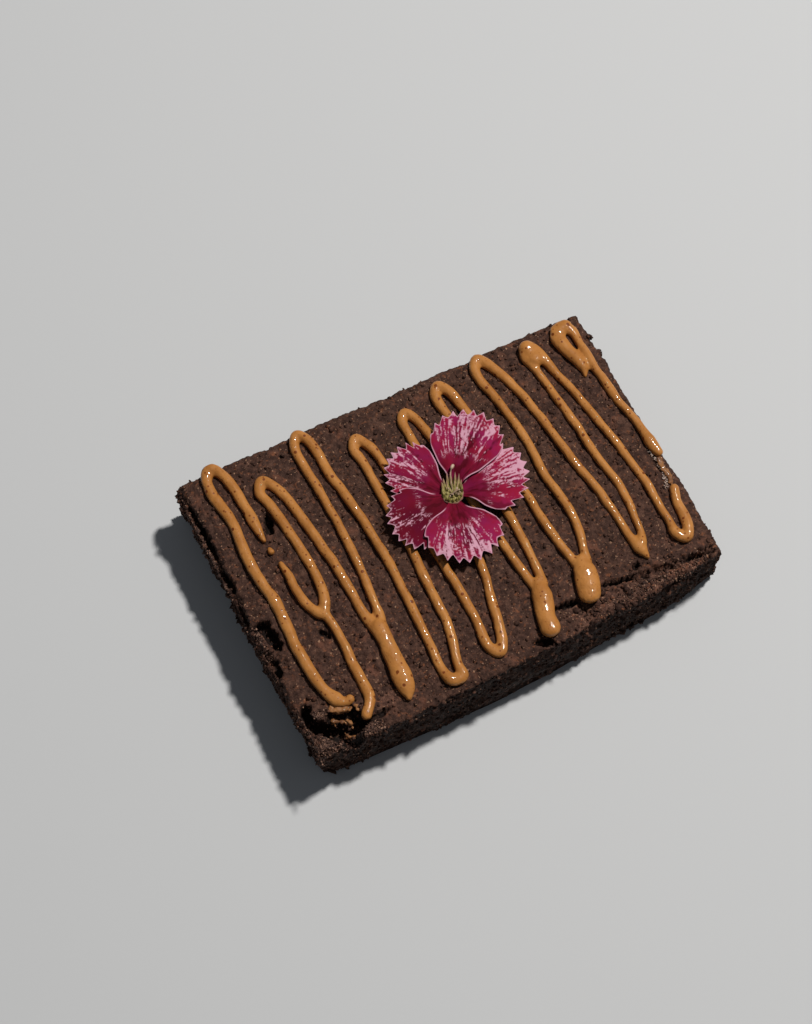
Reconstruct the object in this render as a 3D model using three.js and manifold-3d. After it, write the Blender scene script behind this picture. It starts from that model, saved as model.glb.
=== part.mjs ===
// Chocolate brownie with a piped nut-butter zigzag and a toothed five-petalled flower.
// Millimetres, +Z up. X runs along the long edge, Y towards the back, and the base lies on z = 0.

import * as THREE from 'three';
import { mergeVertices } from 'three/addons/utils/BufferGeometryUtils.js';
import Module from 'manifold-3d';

const wasm = await Module();
wasm.setup();

// Driving dimensions of the slab
const slabHeight = 16.1;
const halfLength = 46;
const halfDepth = 32;
const domeRise = 0.35;
const edgeInset = { left: -46.3, right: 45.1, front: -31.6, back: 31.3 };
const rimSteps = [1.4, 3.2, 5.6, 8.6];
const columnStep = 3.5;
const rowStep = 5.8;
const wallLevels = [0.9, 0.72, 0.5, 0.27, 0.09];
const edgeRounding = 0.55;
const crustRelief = 0.5;
const frontBow = 1.2;
const wallRelief = 1.1;

// Driving dimensions of the drizzle
const beadCrest = 1.45;
const beadSink = 0.4;
const longestStep = 4.4;
const largestBend = 0.5;

// Driving dimensions of the flower
const flowerCentre = new THREE.Vector2(2.5, 4.6);
const limbHeight = slabHeight + 3.05;
const petalThickness = 0.4;
const petalStart = 2.15;
const teethPerPetal = 11;
const toothDepth = 1.3;
const heartRadius = 1.75;

// Colours
const crumbBrown = 0x4a3029;
const petalCrimson = 0xa31d4e;
const heartGreen = 0xa8ad5e;

// Small helpers

const lerp = THREE.MathUtils.lerp;
const clamp = THREE.MathUtils.clamp;
const smoothstep = THREE.MathUtils.smoothstep;
const radians = THREE.MathUtils.degToRad;

// A number from 0 to 1 that belongs to one lattice cell.
function cellValue(i, j, k) {
  const s = Math.sin(i * 127.1 + j * 311.7 + k * 74.7) * 43758.5453;
  return s - Math.floor(s);
}

// Smooth noise from -1 to 1 between the values of the lattice cells.
function noise(x, y, size, seed) {
  const u = x / size;
  const v = y / size;
  const i = Math.floor(u);
  const j = Math.floor(v);
  const a = smoothstep(u - i, 0, 1);
  const b = smoothstep(v - j, 0, 1);
  const near = lerp(cellValue(i, j, seed), cellValue(i + 1, j, seed), a);
  const far = lerp(cellValue(i, j + 1, seed), cellValue(i + 1, j + 1, seed), a);
  return 2 * lerp(near, far, b) - 1;
}

// A closed geometry as a solid that can be joined and cut.
function toSolid(geometry) {
  const bare = geometry.clone();
  bare.deleteAttribute('normal');
  bare.deleteAttribute('uv');
  const merged = mergeVertices(bare, 1e-4);
  const vertProperties = new Float32Array(merged.attributes.position.array);
  const triVerts = new Uint32Array(merged.index.array);
  return new wasm.Manifold(new wasm.Mesh({ numProp: 3, vertProperties, triVerts }));
}

function fromSolid(solid) {
  const mesh = solid.getMesh();
  const geometry = new THREE.BufferGeometry();
  const position = new THREE.BufferAttribute(new Float32Array(mesh.vertProperties), 3);
  geometry.setAttribute('position', position);
  geometry.setIndex(new THREE.BufferAttribute(new Uint32Array(mesh.triVerts), 1));
  geometry.computeVertexNormals();
  return geometry;
}

function geometryFrom(points, triangles) {
  const geometry = new THREE.BufferGeometry();
  geometry.setFromPoints(points);
  geometry.setIndex(triangles);
  geometry.computeVertexNormals();
  return geometry;
}

// The slab's plan: the cut edges are nearly straight, the front one bows out
// and the block is a little narrower towards the right and the back.

function edgeLeft(y) {
  return edgeInset.left + 0.5 * smoothstep(-y, -5, 20) + 0.35 * noise(y, 3, 9, 11);
}

function edgeRight(y) {
  return edgeInset.right - 0.022 * y + 0.3 * noise(y, 7, 8, 12);
}

function edgeFront(x) {
  const bow = frontBow * (1 - (x / halfLength) ** 2);
  const cutBack = 0.75 * smoothstep(x, 0, 16) + 0.35 * smoothstep(x, 30, 44);
  return edgeInset.front + 0.3 - bow + cutBack + 0.008 * x + 0.25 * noise(x, 5, 7, 13);
}

function edgeBack(x) {
  return edgeInset.back - 0.031 * x + 0.2 * noise(x, 9, 8, 14);
}

// How far each wall swells outwards at its base: the front and left ones are drawn in,
// most of all at the front corners.
const wallSwell = {
  left: (y) => -0.65 - 0.5 * smoothstep(-y, 22, 31),
  right: (y) => 0.25 - 0.6 * smoothstep(-y, 20, 30),
  front: (x) => {
    const towardsLeft = 0.55 * smoothstep(-x, 8, 30) + 1.15 * smoothstep(-x, 34, 46);
    const towardsRight = 0.4 * smoothstep(x, 22, 36) + 0.75 * smoothstep(x, 38, 46);
    return 0.55 - towardsLeft - towardsRight;
  },
  back: () => 0.3,
};

function planPoint(roughX, roughY) {
  const across = (roughX - edgeInset.left) / (edgeInset.right - edgeInset.left);
  const along = (roughY - edgeInset.front) / (edgeInset.back - edgeInset.front);
  const x = lerp(edgeLeft(roughY), edgeRight(roughY), across);
  const y = lerp(edgeFront(roughX), edgeBack(roughX), along);
  return new THREE.Vector2(x, y);
}

// Height of the crust without its fine relief: the drizzle follows this.
function crustLevel(x, y) {
  const dome = domeRise * (1 - (x / halfLength) ** 2) * (1 - (y / halfDepth) ** 2);
  return slabHeight - 0.2 + Math.max(dome, 0) + 0.15 * noise(x, y, 13, 21);
}

// The crust has broken off along the right half of the front edge, in a strip that lies lower.
function frontStep(x, y) {
  const along = smoothstep(x, 8, 16);
  const inside = 26.3 + 1.6 * smoothstep(x, 26, 44);
  const across = smoothstep(-y, inside - 0.6, inside + 1.0);
  return 0.9 * along * across;
}

// A broken ledge runs along the left edge, lowest near the back and the front corner.
function leftLedge(x, y) {
  const rim = -44.6 + 0.7 * noise(y, 2, 5, 31);
  const across = smoothstep(-x, -rim, -rim + 1.5);
  const fall = 1.7 + 1.0 * noise(y, 4, 6, 32);
  return fall * across;
}

// How far a point of the top lies inside the nearest cut edge.
function edgeDistance(x, y) {
  const left = x - edgeLeft(y);
  const right = edgeRight(y) - x;
  const front = y - edgeFront(x);
  const back = edgeBack(x) - y;
  return Math.max(Math.min(left, right, front, back), 0);
}

function topHeight(x, y) {
  const fine = 0.5 * crustRelief * noise(x, y, 4.5, 22) + 0.35 * crustRelief * noise(x, y, 2.1, 23);
  const rounding = edgeRounding * Math.exp(-edgeDistance(x, y) / 0.8);
  return crustLevel(x, y) + fine - rounding - frontStep(x, y) - leftLedge(x, y);
}

// Grid lines from one edge to the other: crowded at the edges, where the crags are, and even between.
function gridLines(low, high, step) {
  const reach = rimSteps[rimSteps.length - 1];
  const count = Math.round((high - low - 2 * reach) / step);
  const middle = Array.from({ length: count - 1 }, (_, i) => (
    lerp(low + reach, high - reach, (i + 1) / count)
  ));
  const lowSide = rimSteps.map((distance) => low + distance);
  const highSide = rimSteps.map((distance) => high - distance).reverse();
  return [low, ...lowSide, ...middle, ...highSide, high];
}

// The slab: a grid over the crust, rings down the cut walls and a flat underside.
function slabGeometry() {
  const xs = gridLines(edgeInset.left, edgeInset.right, columnStep);
  const ys = gridLines(edgeInset.front, edgeInset.back, rowStep);
  const columns = xs.length - 1;
  const rows = ys.length - 1;
  const points = [];
  const triangles = [];
  for (const y of ys) {
    for (const x of xs) {
      const plan = planPoint(x, y);
      points.push(new THREE.Vector3(plan.x, plan.y, topHeight(plan.x, plan.y)));
    }
  }
  const top = (i, j) => j * (columns + 1) + i;
  for (let j = 0; j < rows; j += 1) {
    for (let i = 0; i < columns; i += 1) {
      triangles.push(top(i, j), top(i + 1, j), top(i + 1, j + 1));
      triangles.push(top(i, j), top(i + 1, j + 1), top(i, j + 1));
    }
  }

  // Vertices of the top's rim, anticlockwise from the front left corner
  const rim = [];
  for (let i = 0; i < columns; i += 1) rim.push(top(i, 0));
  for (let j = 0; j < rows; j += 1) rim.push(top(columns, j));
  for (let i = columns; i > 0; i -= 1) rim.push(top(i, rows));
  for (let j = rows; j > 0; j -= 1) rim.push(top(0, j));

  // The side that each rim vertex belongs to, and how that side swells outwards
  const sideOf = (k) => {
    if (k < columns) return { x: 0, y: -1, swell: wallSwell.front };
    if (k < columns + rows) return { x: 1, y: 0, swell: wallSwell.right };
    if (k < 2 * columns + rows) return { x: 0, y: 1, swell: wallSwell.back };
    return { x: -1, y: 0, swell: wallSwell.left };
  };
  let above = rim;
  for (const level of [...wallLevels, 0]) {
    const ring = rim.map((vertex, k) => {
      const corner = points[vertex];
      const side = sideOf(k);
      const along = corner.x * Math.abs(side.y) + corner.y * Math.abs(side.x);
      const crags = wallRelief * 0.5 * noise(along, 16 * level + 57 * side.x + 93 * side.y, 2.9, 41);
      const fall = Math.sin(0.5 * Math.PI * (1 - level));
      const push = side.swell(along) * fall + (level > 0 ? crags : 0);
      // The front left corner lies in both walls, so it is drawn in with the left one too
      const cornerShift = k === 0 ? -wallSwell.left(corner.y) * fall : 0;
      const x = corner.x + side.x * push + cornerShift;
      const y = corner.y + side.y * push;
      return points.push(new THREE.Vector3(x, y, level * corner.z)) - 1;
    });
    stitch(triangles, above, ring);
    above = ring;
  }
  closeUnderside(points, triangles, above, columns, rows);
  return geometryFrom(points, triangles);
}

// Two rings of equal length, the second below the first, faces outwards.
function stitch(triangles, upper, lower) {
  for (let i = 0; i < upper.length; i += 1) {
    const next = (i + 1) % upper.length;
    triangles.push(upper[i], lower[i], lower[next]);
    triangles.push(upper[i], lower[next], upper[next]);
  }
}

// The flat underside: four plain corners inside the ring, joined to it by fans.
function closeUnderside(points, triangles, ring, columns, rows) {
  const hub = [[-31, -9], [27, -21], [31, 21], [-26, 20]].map(([x, y]) => (
    points.push(new THREE.Vector3(x, y, 0)) - 1
  ));
  const sides = [columns, rows, columns, rows];
  let start = 0;
  sides.forEach((count, side) => {
    const from = hub[side];
    const to = hub[(side + 1) % 4];
    for (let i = 0; i < count; i += 1) {
      const a = ring[(start + i) % ring.length];
      const b = ring[(start + i + 1) % ring.length];
      const half = Math.floor(count / 2);
      triangles.push(a, i < half ? from : to, b);
      if (i === half - 1) triangles.push(b, from, to);
    }
    start += count;
  });
  triangles.push(hub[0], hub[2], hub[1]);
  triangles.push(hub[0], hub[3], hub[2]);
}

// A rough lump: a crumb when it is joined, a pit when it is cut out.
function lump({ x, y, z, size, turn: angle = 0, detail = 1 }) {
  const geometry = new THREE.IcosahedronGeometry(1, detail);
  const position = geometry.attributes.position;
  const point = new THREE.Vector3();
  for (let i = 0; i < position.count; i += 1) {
    point.fromBufferAttribute(position, i);
    const swell = 1 + 0.16 * noise(3 * point.x + x, 3 * point.y + y + 2 * point.z, 1.3, 51);
    point.multiplyScalar(swell);
    position.setXYZ(i, point.x, point.y, point.z);
  }
  geometry.scale(size[0], size[1], size[2]);
  geometry.rotateZ(radians(angle));
  geometry.translate(x, y, z);
  return toSolid(geometry);
}

// Pits, cracks and the broken front left corner. Each row: x, y, half length, half width, depth, turn.
const pits = [
  [-39.7, -27.2, 5.9, 3.3, 4.8, -30],
  [-36.4, -29.4, 3.3, 2.4, 5.6, -10],
  [-43.6, -23.3, 2.7, 1.6, 4.2, 72],
  [-37.6, -32.4, 3.8, 1.9, 4.4, -4],
  [-44.8, -31.9, 3.2, 2.2, 2.8, 20],
  [-29.4, -28.7, 1.4, 0.6, 1.7, 0],
  [-33.0, 16.7, 2.2, 1.0, 3.0, 75],
  [-33.4, -9.3, 1.4, 0.5, 1.8, -58],
  [-42.9, -5.4, 3.4, 1.3, 3.4, 98],
  [-44.9, -12.0, 1.8, 0.9, 3.0, 85],
  [-45.2, 11.0, 2.8, 0.9, 3.2, 95],
  [-45.6, 17.4, 1.8, 0.8, 2.8, 80],
  [4.7, -30.9, 2.7, 1.0, 2.8, -28],
  [12.3, -26.1, 2.4, 0.7, 2.0, -8],
  [23.8, -26.3, 3.6, 0.5, 1.5, -12],
  [40.6, -28.4, 3.9, 0.5, 2.0, -8],
  [33.0, -27.6, 1.1, 0.8, 1.5, 0],
];

// Crumbs that stand off the cut faces. Each row: x, y, z, radius.
const crumbs = [
  [-46.6, 28.3, 12.6, 1.1],
  [-46.4, 30.9, 13.6, 0.9],
  [-46.3, 20.6, 12.4, 0.9],
  [-46.3, 8.2, 12.2, 0.8],
  [-45.5, -16.8, 13.0, 1.0],
  [-43.4, -30.3, 11.9, 1.5],
  [-33.2, -31.9, 13.6, 1.3],
  [-31.6, -31.7, 14.6, 0.8],
  [44.6, 24.2, 15.1, 0.9],
  [44.9, 20.3, 14.6, 0.8],
  [45.2, -28.4, 1.6, 1.0],
  [36.6, -30.7, 1.5, 1.0],
  [27.3, -31.6, 1.4, 0.9],
  [24.8, -31.8, 1.3, 0.8],
  [-20.6, -32.8, 14.1, 0.8],
];

// The drizzle. A pass runs from edge to edge; each is given by its x on five lines across the slab.

const passLines = [20, 10, 0, -10, -20];

function up(xs, halfWidth) {
  return down(xs, halfWidth).reverse();
}

function down(xs, halfWidth) {
  return xs.map((x, i) => [x, passLines[i], halfWidth]);
}

// A turn at the back edge (side 1) or the front edge (side -1), given by its outermost point.
function turn(x, y, halfSpan, halfWidth, side) {
  const legY = y - side * 1.35 * halfSpan;
  return [
    [x - halfSpan, legY, halfWidth],
    [x, y, halfWidth],
    [x + halfSpan, legY, halfWidth],
  ];
}

const strokes = [
  // First zigzag, broken off at both ends
  [
    [-34.9, -24.0, 1.0],
    [-36.0, -24.1, 0.85],
    [-37.2, -22.9, 1.35],
    ...up([-39.5, -40.1, -39.2, -39.5, -38.5], 1.2),
    ...turn(-38.6, 32.7, 1.75, 1.2, 1),
    [-35.9, 25, 1.15],
    [-35.5, 17, 1.0],
    [-35.4, 13.6, 0.45],
  ],
  // The bead that fell off its end
  [
    [-35.3, 11.4, 0.55],
    [-35.2, 10.8, 0.7],
  ],
  // Second zigzag: a short hook, the long loop, and down to the first thick run
  [
    [-34.5, 7.6, 0.6],
    [-34.3, 3, 0.95],
    [-34.0, -2.2, 1.05],
    ...turn(-31.9, -5.9, 1.5, 1.2, -1).slice(1),
    ...up([-31.1, -29.8, -29.6], 1.05),
    ...turn(-30.3, 25.5, 1.5, 1.15, 1),
    ...down([-27.5, -25.9, -24.9, -24.6], 1.05),
    [-23.7, -14, 1.2],
  ],
  // Branch from the hook down to the front left corner
  [
    [-31.4, -6.2, 1.1],
    [-30.9, -10, 0.95],
    [-31.1, -20, 1.1],
    [-31.3, -25.6, 1.2],
    [-33.3, -28.3, 1.2],
  ],
  // First thick run
  [
    [-23.1, -13.6, 1.8],
    [-23.3, -18, 1.72],
    [-23.5, -22, 1.78],
    [-23.75, -25.6, 2.1],
    [-24.1, -27.8, 1.5],
    [-24.4, -28.9, 0.65],
  ],
  // Third zigzag: the longest, three back turns
  [
    [-22.6, -14, 1.1],
    ...up([-20.9, -20.6, -20.9, -21.8], 0.95),
    ...turn(-19.5, 31.5, 1.5, 1.1, 1),
    ...down([-17.2, -15.9, -15.3, -15.4, -15.8], 1.0),
    [-16.0, -27.8, 1.1],
    [-15.3, -29.6, 1.3],
    [-12.9, -29.8, 1.25],
    [-12.7, -27.4, 1.05],
    ...up([-10.2, -10.0, -9.9, -10.4, -10.9], 1.0),
    ...turn(-9.2, 25.2, 1.35, 1.05, 1),
    ...down([-6.8, -6.4, -6.0, -5.5, -5.3], 1.0),
    ...turn(-4.1, -28.9, 1.5, 1.1, -1),
    ...up([1.0, 1.2, 1.3, 1.1, -1.0], 1.0),
    ...turn(2.3, 25.7, 1.25, 1.1, 1),
    ...down([4.5, 5.2, 5.9, 7.0, 8.2], 0.95),
  ],
  // Second thick run
  [
    [9.3, -19.6, 1.3],
    [8.8, -21.6, 1.95],
    [8.1, -24.2, 2.05],
    [7.3, -26.5, 1.95],
    [7.0, -28.8, 2.2],
  ],
  // Fourth zigzag
  [
    ...up([10.1, 10.4, 10.9, 10.9, 10.3], 0.95),
    ...turn(11.1, 28.1, 1.5, 1.2, 1),
    ...down([13.7, 14.9, 16.0, 16.6, 18.0], 0.95),
  ],
  // Third thick run
  [
    [19.2, -19.4, 1.4],
    [18.7, -21.6, 2.3],
    [18.0, -24.2, 2.5],
    [17.4, -26.0, 2.3],
  ],
  // Fifth zigzag
  [
    ...up([20.5, 21.6, 21.5, 22.3, 20.2], 0.95),
    ...turn(21.1, 29.8, 1.5, 1.15, 1),
    ...down([25.4, 27.0, 28.2, 29.8, 30.4], 0.95),
    [31.0, -22, 1.4],
    [31.5, -24.6, 0.45],
  ],
  // Sixth zigzag, rising again at the right edge
  [
    [31.8, -21.2, 1.3],
    ...up([31.2, 32.2, 32.8, 33.9, 32.5], 0.9),
    ...turn(31.7, 27.6, 1.15, 1.25, 1),
    ...down([34.2, 36.3, 37.8, 38.9, 39.0], 0.9),
    ...turn(40.4, -24.4, 1.5, 1.2, -1),
    [42.4, -17, 1.0],
    [43.3, -14.1, 1.05],
  ],
  // The filled head of its back turn
  [
    [31.4, 26.9, 1.9],
    [31.9, 24.3, 1.8],
  ],
  // Pool at the back right corner with its drip
  [
    [39.4, 16.2, 0.35],
    [40.0, 18.0, 1.05],
    [39.7, 20.4, 1.3],
    [38.6, 23.8, 1.5],
    [38.5, 26.4, 1.6],
    [40.2, 28.1, 1.5],
    [41.7, 26.6, 1.1],
    [41.8, 23.4, 0.92],
    ...down([42.0, 42.5, 44.0], 0.95),
    [44.0, -2.6, 1.25],
    [44.5, -5.6, 0.95],
  ],
  [
    [39.0, 27.8, 1.6],
    [40.9, 28.0, 1.5],
  ],
];

// Cross-section of a bead of half width 1: across, and up as a share of the crest.
const beadSection = [
  [1, 0.36],
  [0.72, 0.8],
  [0, 1],
  [-0.72, 0.8],
  [-1, 0.36],
];

// Points along a stroke: close together where it bends, far apart where it runs straight.
function stations(stroke) {
  const control = stroke.map(([x, y, w]) => new THREE.Vector3(x, y, w));
  const curve = new THREE.CatmullRomCurve3(control, false, 'centripetal');
  const samples = 40 * stroke.length;
  const kept = [];
  let last = null;
  for (let i = 0; i <= samples; i += 1) {
    const point = curve.getPoint(i / samples);
    const tangent = curve.getTangent(i / samples);
    const heading = new THREE.Vector2(tangent.x, tangent.y).normalize();
    const station = { x: point.x, y: point.y, halfWidth: point.z, heading };
    const moved = last ? Math.hypot(point.x - last.x, point.y - last.y) : Infinity;
    const bent = last ? Math.acos(clamp(heading.dot(last.heading), -1, 1)) : 0;
    if (moved > longestStep || (bent > largestBend && moved > 0.5) || i === samples) {
      kept.push(station);
      last = station;
    }
  }
  return kept;
}

// One stroke of drizzle: the bead section carried along the stations, with a round tip at each end.
function beadGeometry(stroke) {
  const along = stations(stroke);
  const first = along[0];
  const end = along[along.length - 1];
  const shifted = (station, distance, share) => ({
    x: station.x + station.heading.x * distance,
    y: station.y + station.heading.y * distance,
    halfWidth: station.halfWidth * share,
    heading: station.heading,
    share,
  });
  const sections = [
    shifted(first, -0.72 * first.halfWidth, 0.66),
    ...along,
    shifted(end, 0.72 * end.halfWidth, 0.66),
  ];
  const points = [];
  const triangles = [];
  const rings = sections.map((station) => {
    const { x, y, halfWidth, heading, share = 1 } = station;
    const crest = beadCrest * (halfWidth / share) ** 0.6 * Math.sqrt(share);
    const base = crustLevel(x, y);
    const spot = (across, z) => {
      const offset = across * halfWidth;
      return points.push(new THREE.Vector3(x + heading.y * offset, y - heading.x * offset, z)) - 1;
    };
    const ring = beadSection.map(([across, rise]) => spot(across, base + rise * crest));
    ring.push(spot(-0.66, base - beadSink), spot(0.66, base - beadSink));
    return ring;
  });
  for (let i = 1; i < rings.length; i += 1) stitch(triangles, rings[i - 1], rings[i]);
  const tip = (station, distance, ring, outward) => {
    const x = station.x + station.heading.x * distance;
    const y = station.y + station.heading.y * distance;
    const centre = points.push(new THREE.Vector3(x, y, crustLevel(x, y) + 0.3)) - 1;
    ring.forEach((vertex, i) => {
      const next = ring[(i + 1) % ring.length];
      triangles.push(...(outward ? [vertex, centre, next] : [vertex, next, centre]));
    });
  };
  tip(first, -first.halfWidth, rings[0], false);
  tip(end, end.halfWidth, rings[rings.length - 1], true);
  return geometryFrom(points, triangles);
}

// The slab with its crumbs and pits, and the drizzle laid over them.
function makeBrownie() {
  let solid = toSolid(slabGeometry());
  for (const [x, y, z, radius] of crumbs) {
    solid = solid.add(lump({ x, y, z, size: [radius, radius * 0.9, radius * 0.8], detail: 0 }));
  }
  for (const [x, y, halfLong, halfWide, depth, angle] of pits) {
    const size = [halfLong, halfWide, depth];
    solid = solid.subtract(lump({ x, y, z: slabHeight + 0.3, size, turn: angle }));
  }
  for (const stroke of strokes) {
    solid = solid.add(toSolid(beadGeometry(stroke)));
  }
  const material = new THREE.MeshStandardMaterial({ color: crumbBrown, roughness: 0.9, metalness: 0 });
  const mesh = new THREE.Mesh(fromSolid(solid), material);
  mesh.name = 'brownie';
  return mesh;
}

// The flower. Angles are in degrees anticlockwise from +X; each petal spans from one edge to the other.
// Its leading edge is raised over the neighbour and its trailing edge is tucked below the other one.
// Slant makes a petal longer on one side than on the other.
const petals = [
  { name: 'petal_top', from: 13, to: 85.5, length: 18.7, slant: -0.02, rise: [0.66, -0.15] },
  { name: 'petal_right', from: -50, to: 31, length: 16.4, slant: 0.1, rise: [0.2, -0.45] },
  { name: 'petal_bottom', from: -152, to: -56, length: 15.6, slant: 0.04, rise: [0.66, -0.15] },
  { name: 'petal_lower_left', from: 146, to: 230, length: 15.0, slant: 0.04, rise: [0.48, -0.48] },
  { name: 'petal_upper_left', from: 88.5, to: 160, length: 15.3, slant: -0.06, rise: [0.1, -0.5] },
];

const radialSteps = [0, 0.24, 0.52, 0.8, 1];

// Slow ripple that all petals share, so that they stay apart where they overlap.
function flowerRipple(x, y) {
  return 0.3 * noise(x, y, 6, 61);
}

// One petal with its middle line along +X and the flower's centre at the origin:
// a fan from a narrow claw to a toothed margin, the same points below as above.
function petalGeometry({ from, to, length, slant, rise }, middle) {
  const across = 2 * teethPerPetal;
  const halfSpread = radians((to - from) / 2);
  const points = [];
  const triangles = [];
  for (const face of [0.5, -0.5]) {
    for (let i = 0; i <= across; i += 1) {
      const t = (2 * i) / across - 1;
      const isTip = i % 2 === 1;
      const fade = 1 - Math.abs(t) ** 6;
      const round = 0.56 + 0.44 * Math.sqrt(Math.max(1 - t * t, 0));
      const outline = length * round * (1 + slant * t);
      const edge = outline - (isTip ? 0 : toothDepth * fade);
      for (const step of radialSteps) {
        const reach = step === 1 ? edge : lerp(petalStart, outline - toothDepth, step);
        const opening = lerp(0.66, 1, smoothstep(reach, 3, 7.5));
        const angle = halfSpread * t * opening;
        const x = reach * Math.cos(angle);
        const y = reach * Math.sin(angle);
        const turned = new THREE.Vector2(x, y).rotateAround(new THREE.Vector2(), middle);
        const tilt = lerp(rise[0], rise[1], (t + 1) / 2) * smoothstep(reach, 0.5, 4);
        const throat = -0.7 * (1 - smoothstep(reach, petalStart, 6));
        const z = tilt + throat + flowerRipple(turned.x, turned.y) + face * petalThickness;
        points.push(new THREE.Vector3(x, y, z));
      }
    }
  }
  const rows = radialSteps.length;
  const lower = (across + 1) * rows;
  for (let i = 0; i < across; i += 1) {
    for (let j = 0; j < rows - 1; j += 1) {
      const a = i * rows + j;
      const b = a + 1;
      const c = a + rows + 1;
      const d = a + rows;
      triangles.push(a, b, c, a, c, d);
      triangles.push(a + lower, c + lower, b + lower, a + lower, d + lower, c + lower);
    }
  }
  const rim = [];
  for (let j = 0; j < rows - 1; j += 1) rim.push(j);
  for (let i = 0; i < across; i += 1) rim.push(i * rows + rows - 1);
  for (let j = rows - 1; j > 0; j -= 1) rim.push(across * rows + j);
  for (let i = across; i > 0; i -= 1) rim.push(i * rows);
  stitch(triangles, rim, rim.map((vertex) => vertex + lower));
  return geometryFrom(points, triangles);
}

function makePetal(petal) {
  const middle = radians((petal.from + petal.to) / 2);
  const material = new THREE.MeshStandardMaterial({
    color: petalCrimson,
    roughness: 0.65,
    metalness: 0,
    side: THREE.DoubleSide,
  });
  const mesh = new THREE.Mesh(petalGeometry(petal, middle), material);
  mesh.rotation.z = middle;
  mesh.name = petal.name;
  return mesh;
}

// The green heart: a short base that rests just above the drizzle, and two pale curled styles.
function makeHeart() {
  const bottom = -1.15;
  const profile = [
    [0, bottom],
    [1.1, bottom],
    [1.55, bottom + 0.35],
    [heartRadius, -0.25],
    [heartRadius - 0.2, 0.15],
    [heartRadius - 0.6, -0.2],
    [0, -0.35],
  ].map(([r, z]) => new THREE.Vector2(r, z));
  const base = new THREE.LatheGeometry(profile, 14);
  base.rotateX(Math.PI / 2);
  let solid = toSolid(base);
  const styles = [
    [[0.3, 0.3, -0.5], [0.9, 1.6, 0.9], [1.7, 3.2, 1.3], [2.5, 4.1, 1.2]],
    [[-0.3, -0.2, -0.5], [0.1, -0.3, 0.7], [1.0, -0.9, 1.2]],
  ];
  const circle = new THREE.Shape().absarc(0, 0, 0.32, 0, 2 * Math.PI);
  for (const style of styles) {
    const curve = new THREE.CatmullRomCurve3(style.map((point) => new THREE.Vector3(...point)));
    const options = { steps: 6, curveSegments: 3, extrudePath: curve, bevelEnabled: false };
    solid = solid.add(toSolid(new THREE.ExtrudeGeometry(circle, options)));
  }
  const material = new THREE.MeshStandardMaterial({ color: heartGreen, roughness: 0.6, metalness: 0 });
  const mesh = new THREE.Mesh(fromSolid(solid), material);
  mesh.name = 'flower_heart';
  return mesh;
}

// The whole brownie, moved so that its box is centred on the origin and rests on z = 0.
function makeModel() {
  const model = new THREE.Group();
  const flower = new THREE.Group();
  flower.position.set(flowerCentre.x, flowerCentre.y, limbHeight);
  flower.add(makeHeart(), ...petals.map(makePetal));
  model.add(makeBrownie(), flower);
  const box = new THREE.Box3().setFromObject(model);
  model.position.set(-(box.min.x + box.max.x) / 2, -(box.min.y + box.max.y) / 2, -box.min.z);
  return model;
}

export default makeModel();
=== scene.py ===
# %% [markdown]
# # A chocolate brownie with a nut-butter zigzag and a small flower
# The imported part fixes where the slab, the drizzle and the petals are. It is plain and faceted.
# Here each of them gets its real surface: a grainy cut slab, round glossy strands that run into
# each other, and thin petals with a toothed edge and pale streaks. Every shape is worked out in
# millimetres as whole numpy arrays, and turned into metres when its mesh is made.

import bpy
import numpy as np
from mathutils import Matrix, Vector


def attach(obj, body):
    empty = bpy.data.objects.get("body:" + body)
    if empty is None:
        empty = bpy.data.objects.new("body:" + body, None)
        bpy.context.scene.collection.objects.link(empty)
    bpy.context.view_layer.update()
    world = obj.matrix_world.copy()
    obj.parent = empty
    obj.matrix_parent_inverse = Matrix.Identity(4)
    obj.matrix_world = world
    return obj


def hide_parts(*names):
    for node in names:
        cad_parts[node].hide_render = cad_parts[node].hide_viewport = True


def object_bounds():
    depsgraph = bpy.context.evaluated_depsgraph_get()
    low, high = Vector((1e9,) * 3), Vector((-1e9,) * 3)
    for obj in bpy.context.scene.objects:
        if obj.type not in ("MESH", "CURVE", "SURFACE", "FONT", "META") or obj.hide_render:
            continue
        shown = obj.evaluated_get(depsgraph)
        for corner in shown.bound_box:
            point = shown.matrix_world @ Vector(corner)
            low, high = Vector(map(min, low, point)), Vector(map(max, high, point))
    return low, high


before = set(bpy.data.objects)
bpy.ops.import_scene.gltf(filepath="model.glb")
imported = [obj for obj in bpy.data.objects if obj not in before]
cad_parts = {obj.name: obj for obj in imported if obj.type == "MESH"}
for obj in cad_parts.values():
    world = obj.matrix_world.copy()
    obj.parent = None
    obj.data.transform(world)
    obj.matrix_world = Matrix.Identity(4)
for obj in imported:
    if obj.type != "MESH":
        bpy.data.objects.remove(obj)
cad_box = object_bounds()
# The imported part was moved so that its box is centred. This moves what is made here with it.
SHIFT = np.array([0.7200, -0.1851, 0.0])
print("packed box in mm:", [[round(1000 * v, 2) for v in corner] for corner in cad_box])

# %% [markdown]
# ## Meshes from arrays
# A surface is a grid of points. Blender wants one list of points and one list of corners, so a
# grid of point numbers is turned into four-cornered faces by taking each number with its
# neighbours. foreach_set then copies whole arrays, which is much faster than adding points singly.
# Beads, claws and stalks are all rows of rings, so one helper closes any such row at its ends.

# %% Mesh helpers


def skin(index, wrap=False):
    """Quads over a grid of point numbers: each number with its right, far and far right
    neighbours. With wrap, the last column is joined to the first."""
    right = np.roll(index, -1, axis=1)
    if not wrap:
        index, right = index[:, :-1], right[:, :-1]
    return np.stack([index[:-1], right[:-1], right[1:], index[1:]], -1).reshape(-1, 4)


def border(index):
    """The point numbers along the edge of a grid, once round from its first corner."""
    return np.concatenate([index[0, :-1], index[:-1, -1], index[-1, :0:-1], index[:0:-1, 0]])


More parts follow.
